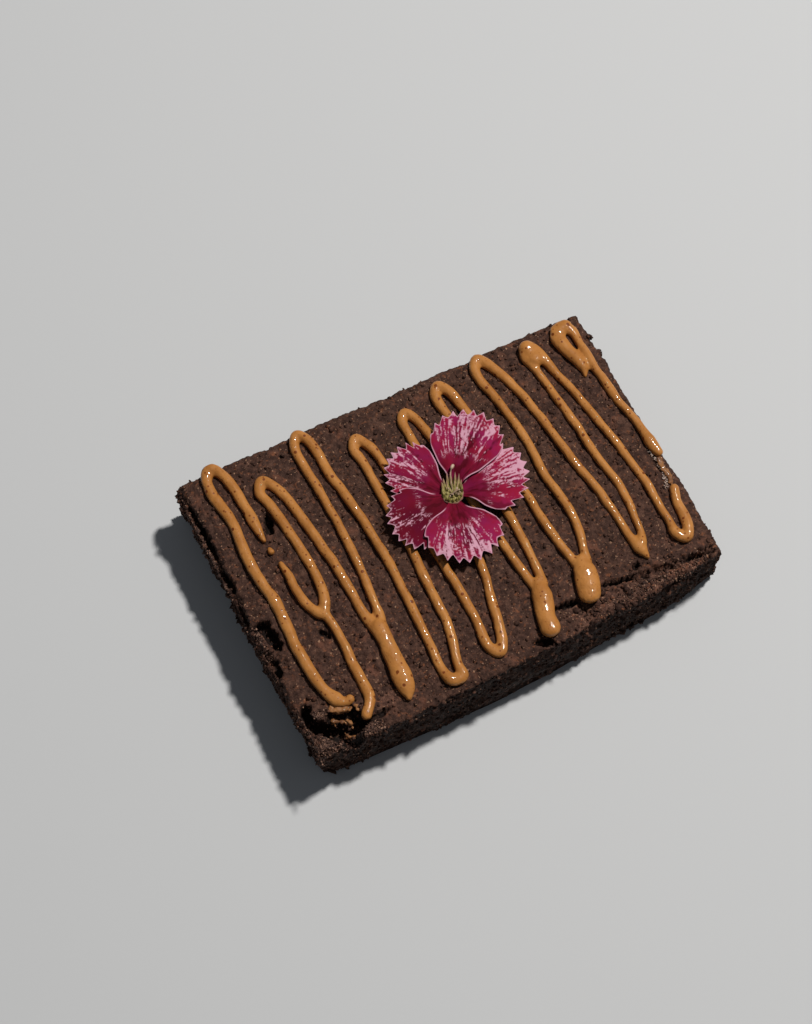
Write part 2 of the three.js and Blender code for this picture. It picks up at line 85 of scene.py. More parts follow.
def closed_tube(rings, ends):
    """Points, quads and end triangles of a row of rings. Each end is closed by triangles from its
    ring to a middle point of its own, which comes after the points of the rings."""
    index = np.arange(rings[..., 0].size).reshape(rings.shape[:2])
    first, last = index[0], index[-1]
    first_cap = np.stack([np.full(len(first), index.size), np.roll(first, -1), first], -1)
    last_cap = np.stack([np.full(len(last), index.size + 1), last, np.roll(last, -1)], -1)
    points = np.vstack([rings.reshape(-1, 3), ends])
    return points, skin(index, True), np.vstack([first_cap, last_cap])


def piece(name, points, face_sets, material, smooth=True):
    """An object from points in millimetres and arrays of face corners. It rides on the one body."""
    mesh = bpy.data.meshes.new(name)
    sizes = np.concatenate([np.full(len(faces), faces.shape[1]) for faces in face_sets])
    corners = np.concatenate([faces.ravel() for faces in face_sets])
    mesh.vertices.add(len(points))
    mesh.vertices.foreach_set("co", ((points + SHIFT) / 1000).astype(np.float32).ravel())
    mesh.loops.add(len(corners))
    mesh.loops.foreach_set("vertex_index", corners.astype(np.int32))
    mesh.polygons.add(len(sizes))
    mesh.polygons.foreach_set("loop_start", (np.cumsum(sizes) - sizes).astype(np.int32))
    mesh.update(calc_edges=True)
    if smooth:
        mesh.shade_smooth()
    mesh.materials.append(material)
    obj = bpy.data.objects.new(name, mesh)
    bpy.context.scene.collection.objects.link(obj)
    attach(obj, "root")
    triangles = int((sizes - 2).sum())
    print(f"{name}: {len(points)} points, {triangles} triangles")
    return obj


def point_values(obj, name, values):
    """A value on each point of an object, which its material reads by name."""
    attribute = obj.data.attributes.new(name, "FLOAT", "POINT")
    attribute.data.foreach_set("value", values.astype(np.float32))


def outward(points, quads):
    """Unit normal at each point: the normals of the quads round it, added up."""
    a, b, c, d = (points[quads[:, k]] for k in range(4))
    normal = np.cross(c - a, d - b)
    total = np.stack(
        [np.bincount(quads.ravel(), np.repeat(normal[:, k], 4), len(points)) for k in range(3)],
        -1,
    )
    return total / np.maximum(np.linalg.norm(total, axis=1, keepdims=True), 1e-9)


# %% [markdown]
# ## Noise
# A baked crumb is never even, so nearly every surface needs noise: a random value on each corner
# of a lattice, eased between the corners. Blender has such textures, but working it out here
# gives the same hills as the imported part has, and lets the shape and the colour share them.

# %% Noise helpers


def ease(value, low=0.0, high=1.0):
    """From 0 below low to 1 above high, with a smooth start and end."""
    t = np.clip((value - low) / (high - low), 0, 1)
    return t * t * (3 - 2 * t)


def mix(a, b, share):
    """The value that lies a share of the way from a to b."""
    return a + (b - a) * share


def cell_value(i, j, k):
    """A number from 0 to 1 for a lattice cell: the fraction of a large sine."""
    s = np.sin(i * 127.1 + j * 311.7 + k * 74.7) * 43758.5453
    return s - np.floor(s)


def noise(x, y, size, seed):
    """Smooth noise from -1 to 1 in a plane, with hills about size across."""
    u, v = np.asarray(x) / size, np.asarray(y) / size
    i, j = np.floor(u), np.floor(v)
    a, b = ease(u - i), ease(v - j)
    near = mix(cell_value(i, j, seed), cell_value(i + 1, j, seed), a)
    far = mix(cell_value(i, j + 1, seed), cell_value(i + 1, j + 1, seed), a)
    return 2 * mix(near, far, b) - 1


def cloud(points, size, seed):
    """Smooth noise from -1 to 1 through space: two layers of the plane's noise, eased in z."""
    level = points[:, 2] / size
    k = np.floor(level)
    lower = noise(points[:, 0] + 17.3 * k, points[:, 1] - 9.1 * k, size, seed)
    upper = noise(points[:, 0] + 17.3 * (k + 1), points[:, 1] - 9.1 * (k + 1), size, seed)
    return mix(lower, upper, ease(level - k))


def grain(points, size, seed):
    """Distance to the nearest grain's middle, in grain sizes: one grain in each lattice cell,
    moved about inside it. It is 0 at a middle and about 0.8 where grains meet."""
    q = points / size
    cell = np.floor(q)
    nearest = np.full(len(points), 9.0)
    for step in np.ndindex(3, 3, 3):
        i, j, k = (cell + np.array(step) - 1).T
        middle = np.stack(
            [
                i + cell_value(i, j, k + seed),
                j + cell_value(j, k + seed, i),
                k + cell_value(k + seed, i, j),
            ],
            -1,
        )
        nearest = np.minimum(nearest, np.linalg.norm(q - middle, axis=1))
    return nearest


# %% [markdown]
# ## The slab
# The brownie was cut from a tray: four cut walls, a thin crust on top, and a flat underside. The
# cuts are nearly straight, the front one bows out a little, and the crust has broken off along
# the right half of the front edge and along the left edge. Sculpting would give such a slab once.
# Formulas give it again at any fineness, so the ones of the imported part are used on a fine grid.

# %% Plan and height of the slab
SLAB_HEIGHT = 16.1
HALF_LENGTH, HALF_DEPTH = 46.0, 32.0
LEFT, RIGHT, FRONT, BACK = -46.3, 45.1, -31.6, 31.3
WALL_RELIEF = 0.55
PITCH, WALL_PITCH = 0.30, 0.50


def edge_left(y):
    """The left cut, drawn in by 0.5 mm over its front half, and uneven along its length."""
    return LEFT + 0.5 * ease(-y, -5, 20) + 0.35 * noise(y, 3, 9, 11)


def edge_right(y):
    """The right cut, slightly askew and uneven along its length."""
    return RIGHT - 0.022 * y + 0.3 * noise(y, 7, 8, 12)


def edge_front(x):
    """The front cut bows out by 1.2 mm in the middle and is cut back in its right half."""
    bow = 1.2 * (1 - (x / HALF_LENGTH) ** 2)
    cut_back = 0.75 * ease(x, 0, 16) + 0.35 * ease(x, 30, 44)
    return FRONT + 0.3 - bow + cut_back + 0.008 * x + 0.25 * noise(x, 5, 7, 13)


def edge_back(x):
    """The back cut, slightly askew and uneven along its length."""
    return BACK - 0.031 * x + 0.2 * noise(x, 9, 8, 14)


def crust_level(x, y):
    """The crust without its fine relief: flat, with a slight dome and slow waves."""
    dome = 0.35 * (1 - (x / HALF_LENGTH) ** 2) * (1 - (y / HALF_DEPTH) ** 2)
    return SLAB_HEIGHT - 0.2 + np.maximum(dome, 0) + 0.15 * noise(x, y, 13, 21)


def front_step(x, y):
    """Depth of the strip along the right half of the front edge where the crust broke off."""
    inside = 26.3 + 1.6 * ease(x, 26, 44) + 0.45 * noise(x, 4, 2.6, 15) + 0.2 * noise(x, 6, 0.9, 16)
    return 0.95 * ease(x, 8, 16) * ease(-y, inside - 0.1, inside + 0.4)


def left_ledge(x, y):
    """Depth of the broken ledge along the left edge."""
    rim = -44.6 + 0.7 * noise(y, 2, 5, 31) + 0.35 * noise(y, 6, 1.7, 33)
    return (1.7 + noise(y, 4, 6, 32)) * ease(-x, -rim, -rim + 1.3)


# %% Pits, cracks and the broken front left corner
# Each row: x, y, half length, half width, depth, turn in degrees.
PITS = [
    [-42.2, -26.9, 2.7, 1.7, 6.2, -55],
    [-39.9, -28.7, 3.6, 2.2, 5.6, -35],
    [-36.2, -29.0, 3.4, 1.6, 5.6, -5],
    [-35.7, -26.9, 1.5, 1.8, 4.2, 0],
    [-38.6, -27.0, 2.6, 2.2, 3.2, -30],
    [-43.9, -23.1, 2.4, 1.2, 5.0, 80],
    [-38.4, -32.0, 2.6, 1.6, 4.6, -8],
    [-44.8, -32.4, 2.6, 1.4, 2.0, 20],
    [-31.6, -29.2, 3.1, 0.65, 2.4, 3],
    [-33.0, 16.7, 2.2, 1.0, 3.0, 75],
    [-33.4, -9.3, 1.4, 0.5, 1.8, -58],
    [-42.9, -5.4, 3.4, 1.3, 3.4, 98],
    [-43.7, -2.5, 1.9, 1.2, 3.4, -12],
    [-44.9, -12.0, 1.8, 0.9, 3.0, 85],
    [-45.5, 9.5, 3.6, 0.8, 3.8, 94],
    [-45.4, 21.5, 7.5, 0.6, 3.9, 91],
    [-45.8, 2.0, 3.0, 0.5, 3.6, 88],
    [4.7, -30.9, 2.7, 1.0, 2.8, -28],
    [12.3, -25.9, 2.9, 0.6, 3.0, -6],
    [24.0, -26.2, 4.2, 0.45, 2.8, -11],
    [28.5, -25.1, 0.9, 0.55, 2.2, 30],
    [40.8, -28.4, 4.2, 0.5, 3.2, -8],
    [33.2, -27.9, 3.2, 0.38, 2.8, -10],
    [29.2, -27.5, 1.2, 0.45, 2.6, -30],
    [15.2, -27.9, 1.8, 0.35, 2.4, -80],
]


def pit_floor(x, y):
    """Height of the lowest pit over each point: a steep uneven bowl, flat in its middle."""
    floor = np.full(np.shape(x), 99.0)
    for px, py, half_long, half_wide, depth, turn in PITS:
        c, s = np.cos(np.radians(turn)), np.sin(np.radians(turn))
        a = ((x - px) * c + (y - py) * s) / half_long
        b = ((y - py) * c - (x - px) * s) / half_wide
        spread = np.hypot(a, b) * (1 + 0.2 * noise(x, y, 2.1, 51) + 0.12 * noise(x, y, 0.9, 52))
        bowl = SLAB_HEIGHT + 0.3 - depth * np.clip(1 - spread**3, 0, 1) ** 0.4
        floor = np.where(spread < 1, np.minimum(floor, bowl), floor)
    return floor


def whole_top(x, y):
    """Height of the crust with its relief and its rounded and broken edges, but no pits. The
    broken strip at the front shows the layers of the crumb as ridges along it."""
    inset = np.minimum.reduce(
        [x - edge_left(y), edge_right(y) - x, y - edge_front(x), edge_back(x) - y]
    )
    fine = 0.25 * noise(x, y, 4.5, 22) + 0.175 * noise(x, y, 2.1, 23)
    fine = fine + 0.3 * noise(0.22 * x, y, 0.8, 17) * ease(front_step(x, y), 0.3, 0.9)
    rounding = 0.55 * np.exp(-np.maximum(inset, 0) / 0.8)
    return crust_level(x, y) + fine - rounding - front_step(x, y) - left_ledge(x, y)


def top_height(x, y):
    """Height of the slab's top: the crust, or the floor of a pit where that is lower."""
    return np.minimum(whole_top(x, y), pit_floor(x, y))


# %% Points of the slab: a grid over the top, rings down the walls
columns = int(round((RIGHT - LEFT) / PITCH))
rows = int(round((BACK - FRONT) / PITCH))
rough_x, rough_y = np.meshgrid(
    np.linspace(LEFT, RIGHT, columns + 1), np.linspace(FRONT, BACK, rows + 1)
)
plan_x = mix(edge_left(rough_y), edge_right(rough_y), (rough_x - LEFT) / (RIGHT - LEFT))
plan_y = mix(edge_front(rough_x), edge_back(rough_x), (rough_y - FRONT) / (BACK - FRONT))
top_points = np.stack([plan_x, plan_y, top_height(plan_x, plan_y)], -1).reshape(-1, 3)
top_index = np.arange(len(top_points)).reshape(rows + 1, columns + 1)
rim = border(top_index)
rim_points = top_points[rim]


def near(distance):
    """1 at a side's own edge, fading round the corner."""
    return np.exp(-np.abs(distance) / 0.8)


flat_x, flat_y = rough_x.ravel()[rim], rough_y.ravel()[rim]
at_left, at_right = near(flat_x - LEFT), near(flat_x - RIGHT)
at_front, at_back = near(flat_y - FRONT), near(flat_y - BACK)
levels = np.linspace(1, 0, int(round(SLAB_HEIGHT / WALL_PITCH)) + 1)[1:, None]


def wall_push(here, swell, along, side_x, side_y):
    """How far a wall stands out: a swell that grows towards the base, or draws it in where it is
    below 0, and broad crags."""
    crags = WALL_RELIEF * noise(along, 16 * levels + 57 * side_x + 93 * side_y, 2.9, 41)
    return here * (swell * np.sin(0.5 * np.pi * (1 - levels)) + crags * ease(levels, 0, 0.05))


rx, ry, rz = rim_points.T
# The front and left walls are drawn in at the base, most of all at the front corners.
left_swell = -0.65 - 0.5 * ease(-ry, 22, 31)
right_swell = 0.25 - 0.6 * ease(-ry, 20, 30)
front_swell = 0.55 - 0.55 * ease(-rx, 8, 30) - 1.15 * ease(-rx, 34, 46)
front_swell = front_swell - 0.4 * ease(rx, 22, 36) - 0.75 * ease(rx, 38, 46)
push_x = wall_push(at_right, right_swell, ry, 1, 0) - wall_push(at_left, left_swell, ry, -1, 0)
push_y = wall_push(at_back, 0.3, rx, 0, 1) - wall_push(at_front, front_swell, rx, 0, -1)
wall_points = np.stack([rx + push_x, ry + push_y, levels * rz], -1)
wall_index = len(top_points) + np.arange(wall_points[..., 0].size).reshape(wall_points.shape[:2])
hub = len(top_points) + wall_index.size
slab_points = np.concatenate([top_points, wall_points.reshape(-1, 3), [[0, 0, 0]]])
slab_quads = np.concatenate([skin(top_index), skin(np.vstack([rim, wall_index]), True)[:, ::-1]])
last_ring = wall_index[-1]
underside = np.stack([np.full(len(last_ring), hub), np.roll(last_ring, -1), last_ring], -1)

# %% [markdown]
# ## The crumb's own grain
# Under the crust a brownie is a mass of small grains with pores between them. The slab's points
# are moved along their normals: out over a grain, in where grains meet, and further in at a
# pore. The cut walls are rougher than the crust, because the knife tears the crumb.

# %% Roughen the slab
slab_normals = outward(slab_points, slab_quads)
slab_x, slab_y, slab_z = slab_points.T
sunk = ease(crust_level(slab_x, slab_y) - slab_z, 0.5, 1.3)
torn = np.maximum(1 - ease(slab_normals[:, 2], 0.35, 0.85), sunk)
coarse = grain(slab_points, 1.3, 3)
fine = grain(slab_points, 0.75, 8)
pores = ease(cloud(slab_points, 1.5, 61), 0.45, 0.85)
swelling = (0.5 - coarse) * mix(0.30, 0.75, torn) + (0.5 - fine) * mix(0.38, 0.5, torn)
swelling += 0.14 * cloud(slab_points, 2.7, 62) - pores * mix(0.08, 0.6, torn)
quiet = ease(np.maximum(slab_normals[:, 0], slab_normals[:, 1]), 0.2, 0.6)
swelling *= 1 - 0.5 * quiet
# Hair cracks in the crust: thin lines where a slow noise passes through zero
crack_line = noise(slab_x, slab_y, 6.5, 24) + 0.3 * noise(slab_x, slab_y, 1.7, 25)
crack_part = ease(noise(slab_x, slab_y, 8, 26), 0.0, 0.4)
swelling -= 0.45 * np.exp(-((crack_line / 0.035) ** 2)) * crack_part * (1 - torn)
slab_rough = slab_points + slab_normals * swelling[:, None]
at_base = ease(slab_points[:, 2], 0.0, 0.5)[:, None]
slab_rough = mix(slab_points, slab_rough, at_base)
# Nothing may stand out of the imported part's box, and only the underside lies on the floor
BOX_MARGIN = 0.02
low, high = (np.array(corner) * 1000 - SHIFT for corner in cad_box)
slab_rough = np.clip(slab_rough, low + BOX_MARGIN, high - BOX_MARGIN)
lifted = np.maximum(slab_rough[:, 2], BOX_MARGIN)
slab_rough[:, 2] = np.where(slab_points[:, 2] <= 1e-6, 0, lifted)
print("crust relief in mm:", np.round(np.percentile(swelling[: len(top_points)], [2, 50, 98]), 2))

# %% [markdown]
# ## Materials
# Each finish is a short node graph on Object coordinates. A helper makes the shader and one
# makes a texture, so that each material below reads as a recipe.

# %% Material helpers


def finish(name, roughness, **sockets):
    """A new material's node tree and shader, with plain values on the shader's own sockets."""
    material = bpy.data.materials.new(name)
    material.use_nodes = True
    shader = material.node_tree.nodes["Principled BSDF"]
    shader.inputs["Roughness"].default_value = roughness
    for socket, value in sockets.items():
        shader.inputs[socket.replace("_", " ")].default_value = value
    return material, material.node_tree, shader


def texture(tree, kind, size_mm, **settings):
    """A texture on Object coordinates whose features are about size_mm across."""
    node = tree.nodes.new(kind)
    node.inputs["Scale"].default_value = 1000 / size_mm
    for name, value in settings.items():
        node.inputs[name].default_value = value
    place = tree.nodes.new("ShaderNodeTexCoord")
    tree.links.new(place.outputs["Object"], node.inputs["Vector"])
    return node


def ramp(tree, value, *stops):
    """A colour ramp: each stop is a place from 0 to 1 and a colour."""
    node = tree.nodes.new("ShaderNodeValToRGB")
    tree.links.new(value, node.inputs["Fac"])
    elements = node.color_ramp.elements
    while len(elements) < len(stops):
        elements.new(0.5)
    for element, (place, colour) in zip(elements, stops):
        element.position = place
        element.color = (*colour, 1)
    return node.outputs["Color"]


def blend(tree, share, a, b):
    """Colour a where share is 0 and colour b where it is 1. Either may be a plain colour."""
    node = tree.nodes.new("ShaderNodeMix")
    node.data_type = "RGBA"
    tree.links.new(share, node.inputs["Factor"])
    for socket, colour in ((node.inputs[6], a), (node.inputs[7], b)):
        if isinstance(colour, tuple):
            socket.default_value = (*colour, 1)
        else:
            tree.links.new(colour, socket)
    return node.outputs[2]


def bump(tree, shader, height, depth_mm, strength=1.0):
    """Fine relief in the shading: the shape itself is in the mesh."""
    node = tree.nodes.new("ShaderNodeBump")
    node.inputs["Strength"].default_value = strength
    node.inputs["Distance"].default_value = depth_mm / 1000
    tree.links.new(height, node.inputs["Height"])
    tree.links.new(node.outputs["Normal"], shader.inputs["Normal"])
    tree.links.new(node.outputs["Normal"], shader.inputs["Coat Normal"])


# %% [markdown]
# ## Brownie crumb
# The crumb is a dark purplish brown with reddish and tan specks, where sugar and nuts show. It
# is dry, but its fat gives tiny glints. The slab has one more value on its points, named shade,
# which scales the crumb's colour: painted shade darkens the pits and the cut walls, a painted
# highlight runs along the front lip, painted light brightens two patches, and the broken strip
# along the front is lighter, partly as drier crumb and partly as painted light.

# %% Crumb material


def crumb_finish(name, lift=1.0, specular=0.18, shaded=False, tan_from=0.80):
    """Three tones mottled by noise, with soft reddish patches and tan flecks where other noises
    peak. With shaded, all of it is multiplied by the value named shade on the points. Else each
    lump's own value named tone makes it dark (0), plain or tan (1)."""
    material, tree, shader = finish(name, 0.75, Specular_IOR_Level=specular)
    tone = texture(tree, "ShaderNodeTexNoise", 1.3, Detail=6.0, Roughness=0.75)
    dark, middle, light = (0.018, 0.0072, 0.0045), (0.052, 0.0238, 0.0162), (0.110, 0.053, 0.035)
    stops = [(0.33, dark), (0.5, middle), (0.68, light)]
    colour = ramp(tree, tone.outputs[0], *((p, tuple(lift * v for v in c)) for p, c in stops))
    for size, start, width, most, fleck in (
        (3.2, 0.57, 0.14, 0.65, (0.150, 0.060, 0.036)),
        (0.8, 0.585, 0.09, 0.65, (0.185, 0.066, 0.029)),
        (0.6, 0.645, 0.05, 0.85, (0.34, 0.19, 0.115)),
    ):
        flecks = texture(tree, "ShaderNodeTexNoise", size, Detail=3.0, Roughness=0.55)
        share = ramp(tree, flecks.outputs[0], (start, (0, 0, 0)), (start + width, (most,) * 3))
        colour = blend(tree, share, colour, fleck)
    if shaded:
        shade = tree.nodes.new("ShaderNodeAttribute")
        shade.attribute_name = "shade"
        scaled = tree.nodes.new("ShaderNodeVectorMath")
        scaled.operation = "SCALE"
        tree.links.new(colour, scaled.inputs[0])
        tree.links.new(shade.outputs["Fac"], scaled.inputs["Scale"])
        colour = scaled.outputs[0]
    else:
        tone = tree.nodes.new("ShaderNodeAttribute")
        tone.attribute_name = "tone"
        tan = ramp(tree, tone.outputs["Fac"], (tan_from, (0, 0, 0)), (1.0, (0.9, 0.9, 0.9)))
        colour = blend(tree, tan, colour, (0.38, 0.215, 0.145))
        darker = ramp(tree, tone.outputs["Fac"], (0.1, (0.6, 0.6, 0.6)), (0.4, (0, 0, 0)))
        colour = blend(tree, darker, colour, (0.026, 0.012, 0.009))
    tree.links.new(colour, shader.inputs["Base Color"])
    rough = texture(tree, "ShaderNodeTexNoise", 0.42, Detail=4.0, Roughness=0.6)
    bump(tree, shader, rough.outputs[0], 0.35, 0.9)
    return material


def patch(x, y, middle, size):
    """1 in the middle of an oval patch and 0 outside it, with an uneven edge."""
    away = np.hypot((x - middle[0]) / size[0], (y - middle[1]) / size[1])
    return 1 - ease(away + 0.25 * noise(x, y, 1.3, 54), 0.6, 1.1)


on_top = np.arange(len(slab_points)) < len(top_points)
# Depth below the crust, used as painted shade that darkens the pits.
pit_painted_shade = ease(whole_top(slab_x, slab_y) - slab_z, 0.2, 1.3) * on_top
wall = (1 - ease(slab_normals[:, 2], 0.1, 0.6)) * ~on_top
# Lighter places: a painted highlight along the front lip, painted light on two patches, and the
# broken strip, partly drier crumb and partly painted light.
strip = ease(front_step(slab_x, slab_y), 0.2, 0.8) * on_top
lip = np.exp(-(((slab_y - edge_front(slab_x) - 0.15) / 0.35) ** 2)) * ease(slab_x, 4, 14)
dry_and_painted_light = np.maximum.reduce(
    [
        0.45 * strip,
        0.9 * lip * on_top,
        0.8 * patch(slab_x, slab_y, (-27.9, -27.2), (2.6, 1.6)),
        0.35 * patch(slab_x, slab_y, (-43.4, -30.4), (2.6, 2.8)),
    ]
)
# Painted shade darkens the pits to 0.17 and the cut walls to 0.42; painted light makes the lip, two
# patches and the broken strip lighter.
shade = (1 + dry_and_painted_light) * mix(1, 0.17, pit_painted_shade) * mix(1, 0.42, wall)
crumb_material = crumb_finish("cocoa_crumb", shaded=True)
slab = piece("brownie_slab", slab_rough, [slab_quads, underside], crumb_material)
point_values(slab, "shade", shade)
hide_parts("brownie")

# %% [markdown]
# ## Loose crumbs
# Crumbs hang on the cut faces, in the pits and along the broken edges. A particle system could
# scatter them, but real small lumps are kept as mesh: each is a twenty-faced ball with its points
# moved at random, and all lumps of a kind are one mesh.

# %% Lumps
GOLDEN = (1 + 5**0.5) / 2
BALL = np.array(
    [[0, s, t * GOLDEN] for s in (-1, 1) for t in (-1, 1)]
    + [[s, t * GOLDEN, 0] for s in (-1, 1) for t in (-1, 1)]
    + [[t * GOLDEN, 0, s] for s in (-1, 1) for t in (-1, 1)]
)
BALL /= np.linalg.norm(BALL[0])
TAN_SIZE = 0.24


def ball_faces():
    """The twenty triangles of the ball: every three points that are close to each other."""
    gap = np.linalg.norm(BALL[:, None] - BALL[None], axis=2)
    close = gap < 1.1
    a, b, c = np.meshgrid(*[np.arange(len(BALL))] * 3, indexing="ij")
    found = (a < b) & (b < c) & close[a, b] & close[b, c] & close[a, c]
    faces = np.stack([a[found], b[found], c[found]], -1)
    p = BALL[faces]
    inward = np.einsum("ij,ij->i", np.cross(p[:, 1] - p[:, 0], p[:, 2] - p[:, 0]), p[:, 0]) < 0
    faces[inward] = faces[inward][:, ::-1]
    return faces


def lumps(name, centres, sizes, material, seed, unevenness=0.42):
    """Uneven lumps: the ball's points times a random reach, times each lump's own three sizes,
    turned by a random angle about the upright axis. The tone of a lump is a random number, made
    smaller where the lump is larger than TAN_SIZE."""
    draw = np.random.default_rng(seed)
    count = len(centres)
    reach = 1 + unevenness * draw.uniform(-1, 1, (count, len(BALL), 1))
    body = BALL[None] * reach * sizes[:, None, :]
    angle = draw.uniform(0, 2 * np.pi, count)
    c, s = np.cos(angle)[:, None], np.sin(angle)[:, None]
    turned = np.stack(
        [body[..., 0] * c - body[..., 1] * s, body[..., 0] * s + body[..., 1] * c, body[..., 2]], -1
    )
    points = (turned + centres[:, None]).reshape(-1, 3)
    points = np.clip(points, low + BOX_MARGIN, high - BOX_MARGIN)
    faces = (ball_faces()[None] + len(BALL) * np.arange(count)[:, None, None]).reshape(-1, 3)
    obj = piece(name, points, [faces], material, smooth=False)
    tone = draw.random(count) * np.clip(TAN_SIZE / sizes[:, 0], 0, 1)
    point_values(obj, "tone", np.repeat(tone, len(BALL)))
    return obj


# %% Scatter the crumbs
GRAINS = 6000
TYPICAL_GRAIN, LEAST_GRAIN, LARGEST_GRAIN = 0.27, 0.14, 0.75
GRAIN_LIFT = 0.05
draw = np.random.default_rng(5)
# Grains are likelier on torn faces, and most of all on the ledge and in the broken corner
broken = ease(front_step(slab_x, slab_y), 0.1, 0.8)
ledge = ease(left_ledge(slab_x, slab_y), 0.3, 1.5)
corner = np.exp(-(((slab_x + 38.5) / 6) ** 2) - (((slab_y + 29) / 4) ** 2))
likely = 0.3 + 0.8 * torn + 0.8 * broken + 2.2 * ledge + 2.5 * corner
likely *= ease(slab_z, 0.3, 1.2) * (1 - 0.9 * quiet)
likely[hub] = 0
chosen = draw.choice(len(slab_rough), GRAINS, replace=False, p=likely / likely.sum())
grain_places = slab_rough[chosen] + slab_normals[chosen] * GRAIN_LIFT
grain_radius = draw.lognormal(np.log(TYPICAL_GRAIN), 0.38, GRAINS)
grain_radius = np.clip(grain_radius, LEAST_GRAIN, LARGEST_GRAIN)
grain_sizes = grain_radius[:, None] * draw.uniform(0.7, 1.15, (GRAINS, 3))
loose_crumb = crumb_finish("loose_crumb", 1.15)
grains_piece = lumps("crumb_grains", grain_places, grain_sizes, loose_crumb, 21)

# %% Clusters: crumbs that stand off the cut faces. Each row: x, y, z, radius
CLUSTER_LUMPS = 14
EDGE_CRUMBS = np.array(
    [
        [-46.6, 28.3, 12.6, 1.1],
        [-46.4, 30.9, 13.6, 0.9],
        [-46.3, 20.6, 12.4, 0.9],
        [-46.3, 8.2, 12.2, 0.8],
        [-45.5, -16.8, 13.0, 1.0],
        [-43.4, -30.3, 11.9, 1.5],
        [-33.2, -31.9, 13.6, 1.3],
        [-31.6, -31.7, 14.6, 0.8],
        [44.6, 24.2, 15.1, 0.9],
        [44.9, 20.3, 14.6, 0.8],
        [45.2, -28.4, 1.6, 1.0],
        [36.6, -30.7, 1.5, 1.0],
        [27.3, -31.6, 1.4, 0.9],
        [24.8, -31.8, 1.3, 0.8],
        [-20.6, -32.8, 14.1, 0.8],
    ]
)
cluster = draw.normal(0, 0.3, (len(EDGE_CRUMBS), CLUSTER_LUMPS, 3)) * EDGE_CRUMBS[:, None, 3:]
cluster_places = (EDGE_CRUMBS[:, None, :3] + cluster).reshape(-1, 3)
cluster_radius = np.repeat(EDGE_CRUMBS[:, 3], CLUSTER_LUMPS)
cluster_radius = cluster_radius * draw.uniform(0.3, 0.65, CLUSTER_LUMPS * len(EDGE_CRUMBS))
cluster_sizes = cluster_radius[:, None] * np.array([1.0, 0.9, 0.8])
edge_crumb = crumb_finish("edge_crumb", 0.8)
edge_piece = lumps("edge_crumbs", cluster_places, cluster_sizes, edge_crumb, 22)

# %% Heaps of dry crumbs. Each row: x, y, spread in x and in y, count, radius, lift over the surface
HEAP_RIGHT, HEAP_FLOOR = 43.3, 11.5
HEAPS = np.array(
    [
        [-33.4, -31.2, 1.20, 0.55, 460, 0.12, 0.45],
        [-43.2, -29.9, 1.05, 1.10, 560, 0.12, 0.25],
        [-41.6, -23.8, 0.60, 0.45, 150, 0.12, 0.20],
        [-45.2, -27.0, 0.25, 3.20, 170, 0.13, 0.20],
        [-46.2, 18.0, 0.13, 6.00, 300, 0.14, 0.30],
        [-45.3, -5.5, 0.40, 1.90, 200, 0.13, 0.20],
        [-40.2, -31.2, 0.35, 0.40, 40, 0.15, 0.60],
        [27.0, -29.4, 7.50, 0.85, 620, 0.11, 0.05],
    ]
)
heap = np.repeat(HEAPS, HEAPS[:, 4].astype(int), axis=0)
heap_xy = heap[:, :2] + heap[:, 2:4] * np.clip(draw.normal(0, 1, (len(heap), 2)), -2, 2)
heap_xy[:, 0] = np.minimum(heap_xy[:, 0], HEAP_RIGHT)
heap_z = np.maximum(top_height(heap_xy[:, 0], heap_xy[:, 1]), HEAP_FLOOR)
heap_z = heap_z + heap[:, 6] * draw.random(len(heap))
heap_sizes = heap[:, 5:6] * draw.lognormal(0, 0.45, (len(heap), 1))
heap_sizes = heap_sizes * draw.uniform(0.7, 1.2, (len(heap), 3))
heap_places = np.column_stack([heap_xy, heap_z])
dry_crumb = crumb_finish("dry_crumb", 1.3, 0.4, tan_from=0.6)
heap_piece = lumps("dry_crumbs", heap_places, heap_sizes, dry_crumb, 23)

# %% [markdown]
# ## The drizzle
# Nut butter was piped in zigzags from edge to edge. Each stroke is a rounded bead laid along a
# curve. Where strokes meet, the soft butter runs together, so all beads are joined by a voxel
# remesh and then smoothed, which fills the creases between them as the butter does.

# %% Strokes: each point is x, y and half width
PASS_LINES = [20, 10, 0, -10, -20]


def down(xs, half_width):
    """A leg from the back to the front: its x on each of the PASS_LINES."""
    return [[x, y, half_width] for x, y in zip(xs, PASS_LINES)]


def up(xs, half_width):
    """The same leg the other way, with its x still given from the back to the front."""
    return down(xs, half_width)[::-1]


def turn(x, y, half_span, half_width, side):
    """A turn at the back edge (side 1) or the front edge (side -1), by its outermost point."""
    leg_y = y - side * 1.35 * half_span
    bend = [[x - half_span, leg_y], [x, y], [x + half_span, leg_y]]
    return [[*point, half_width] for point in bend]


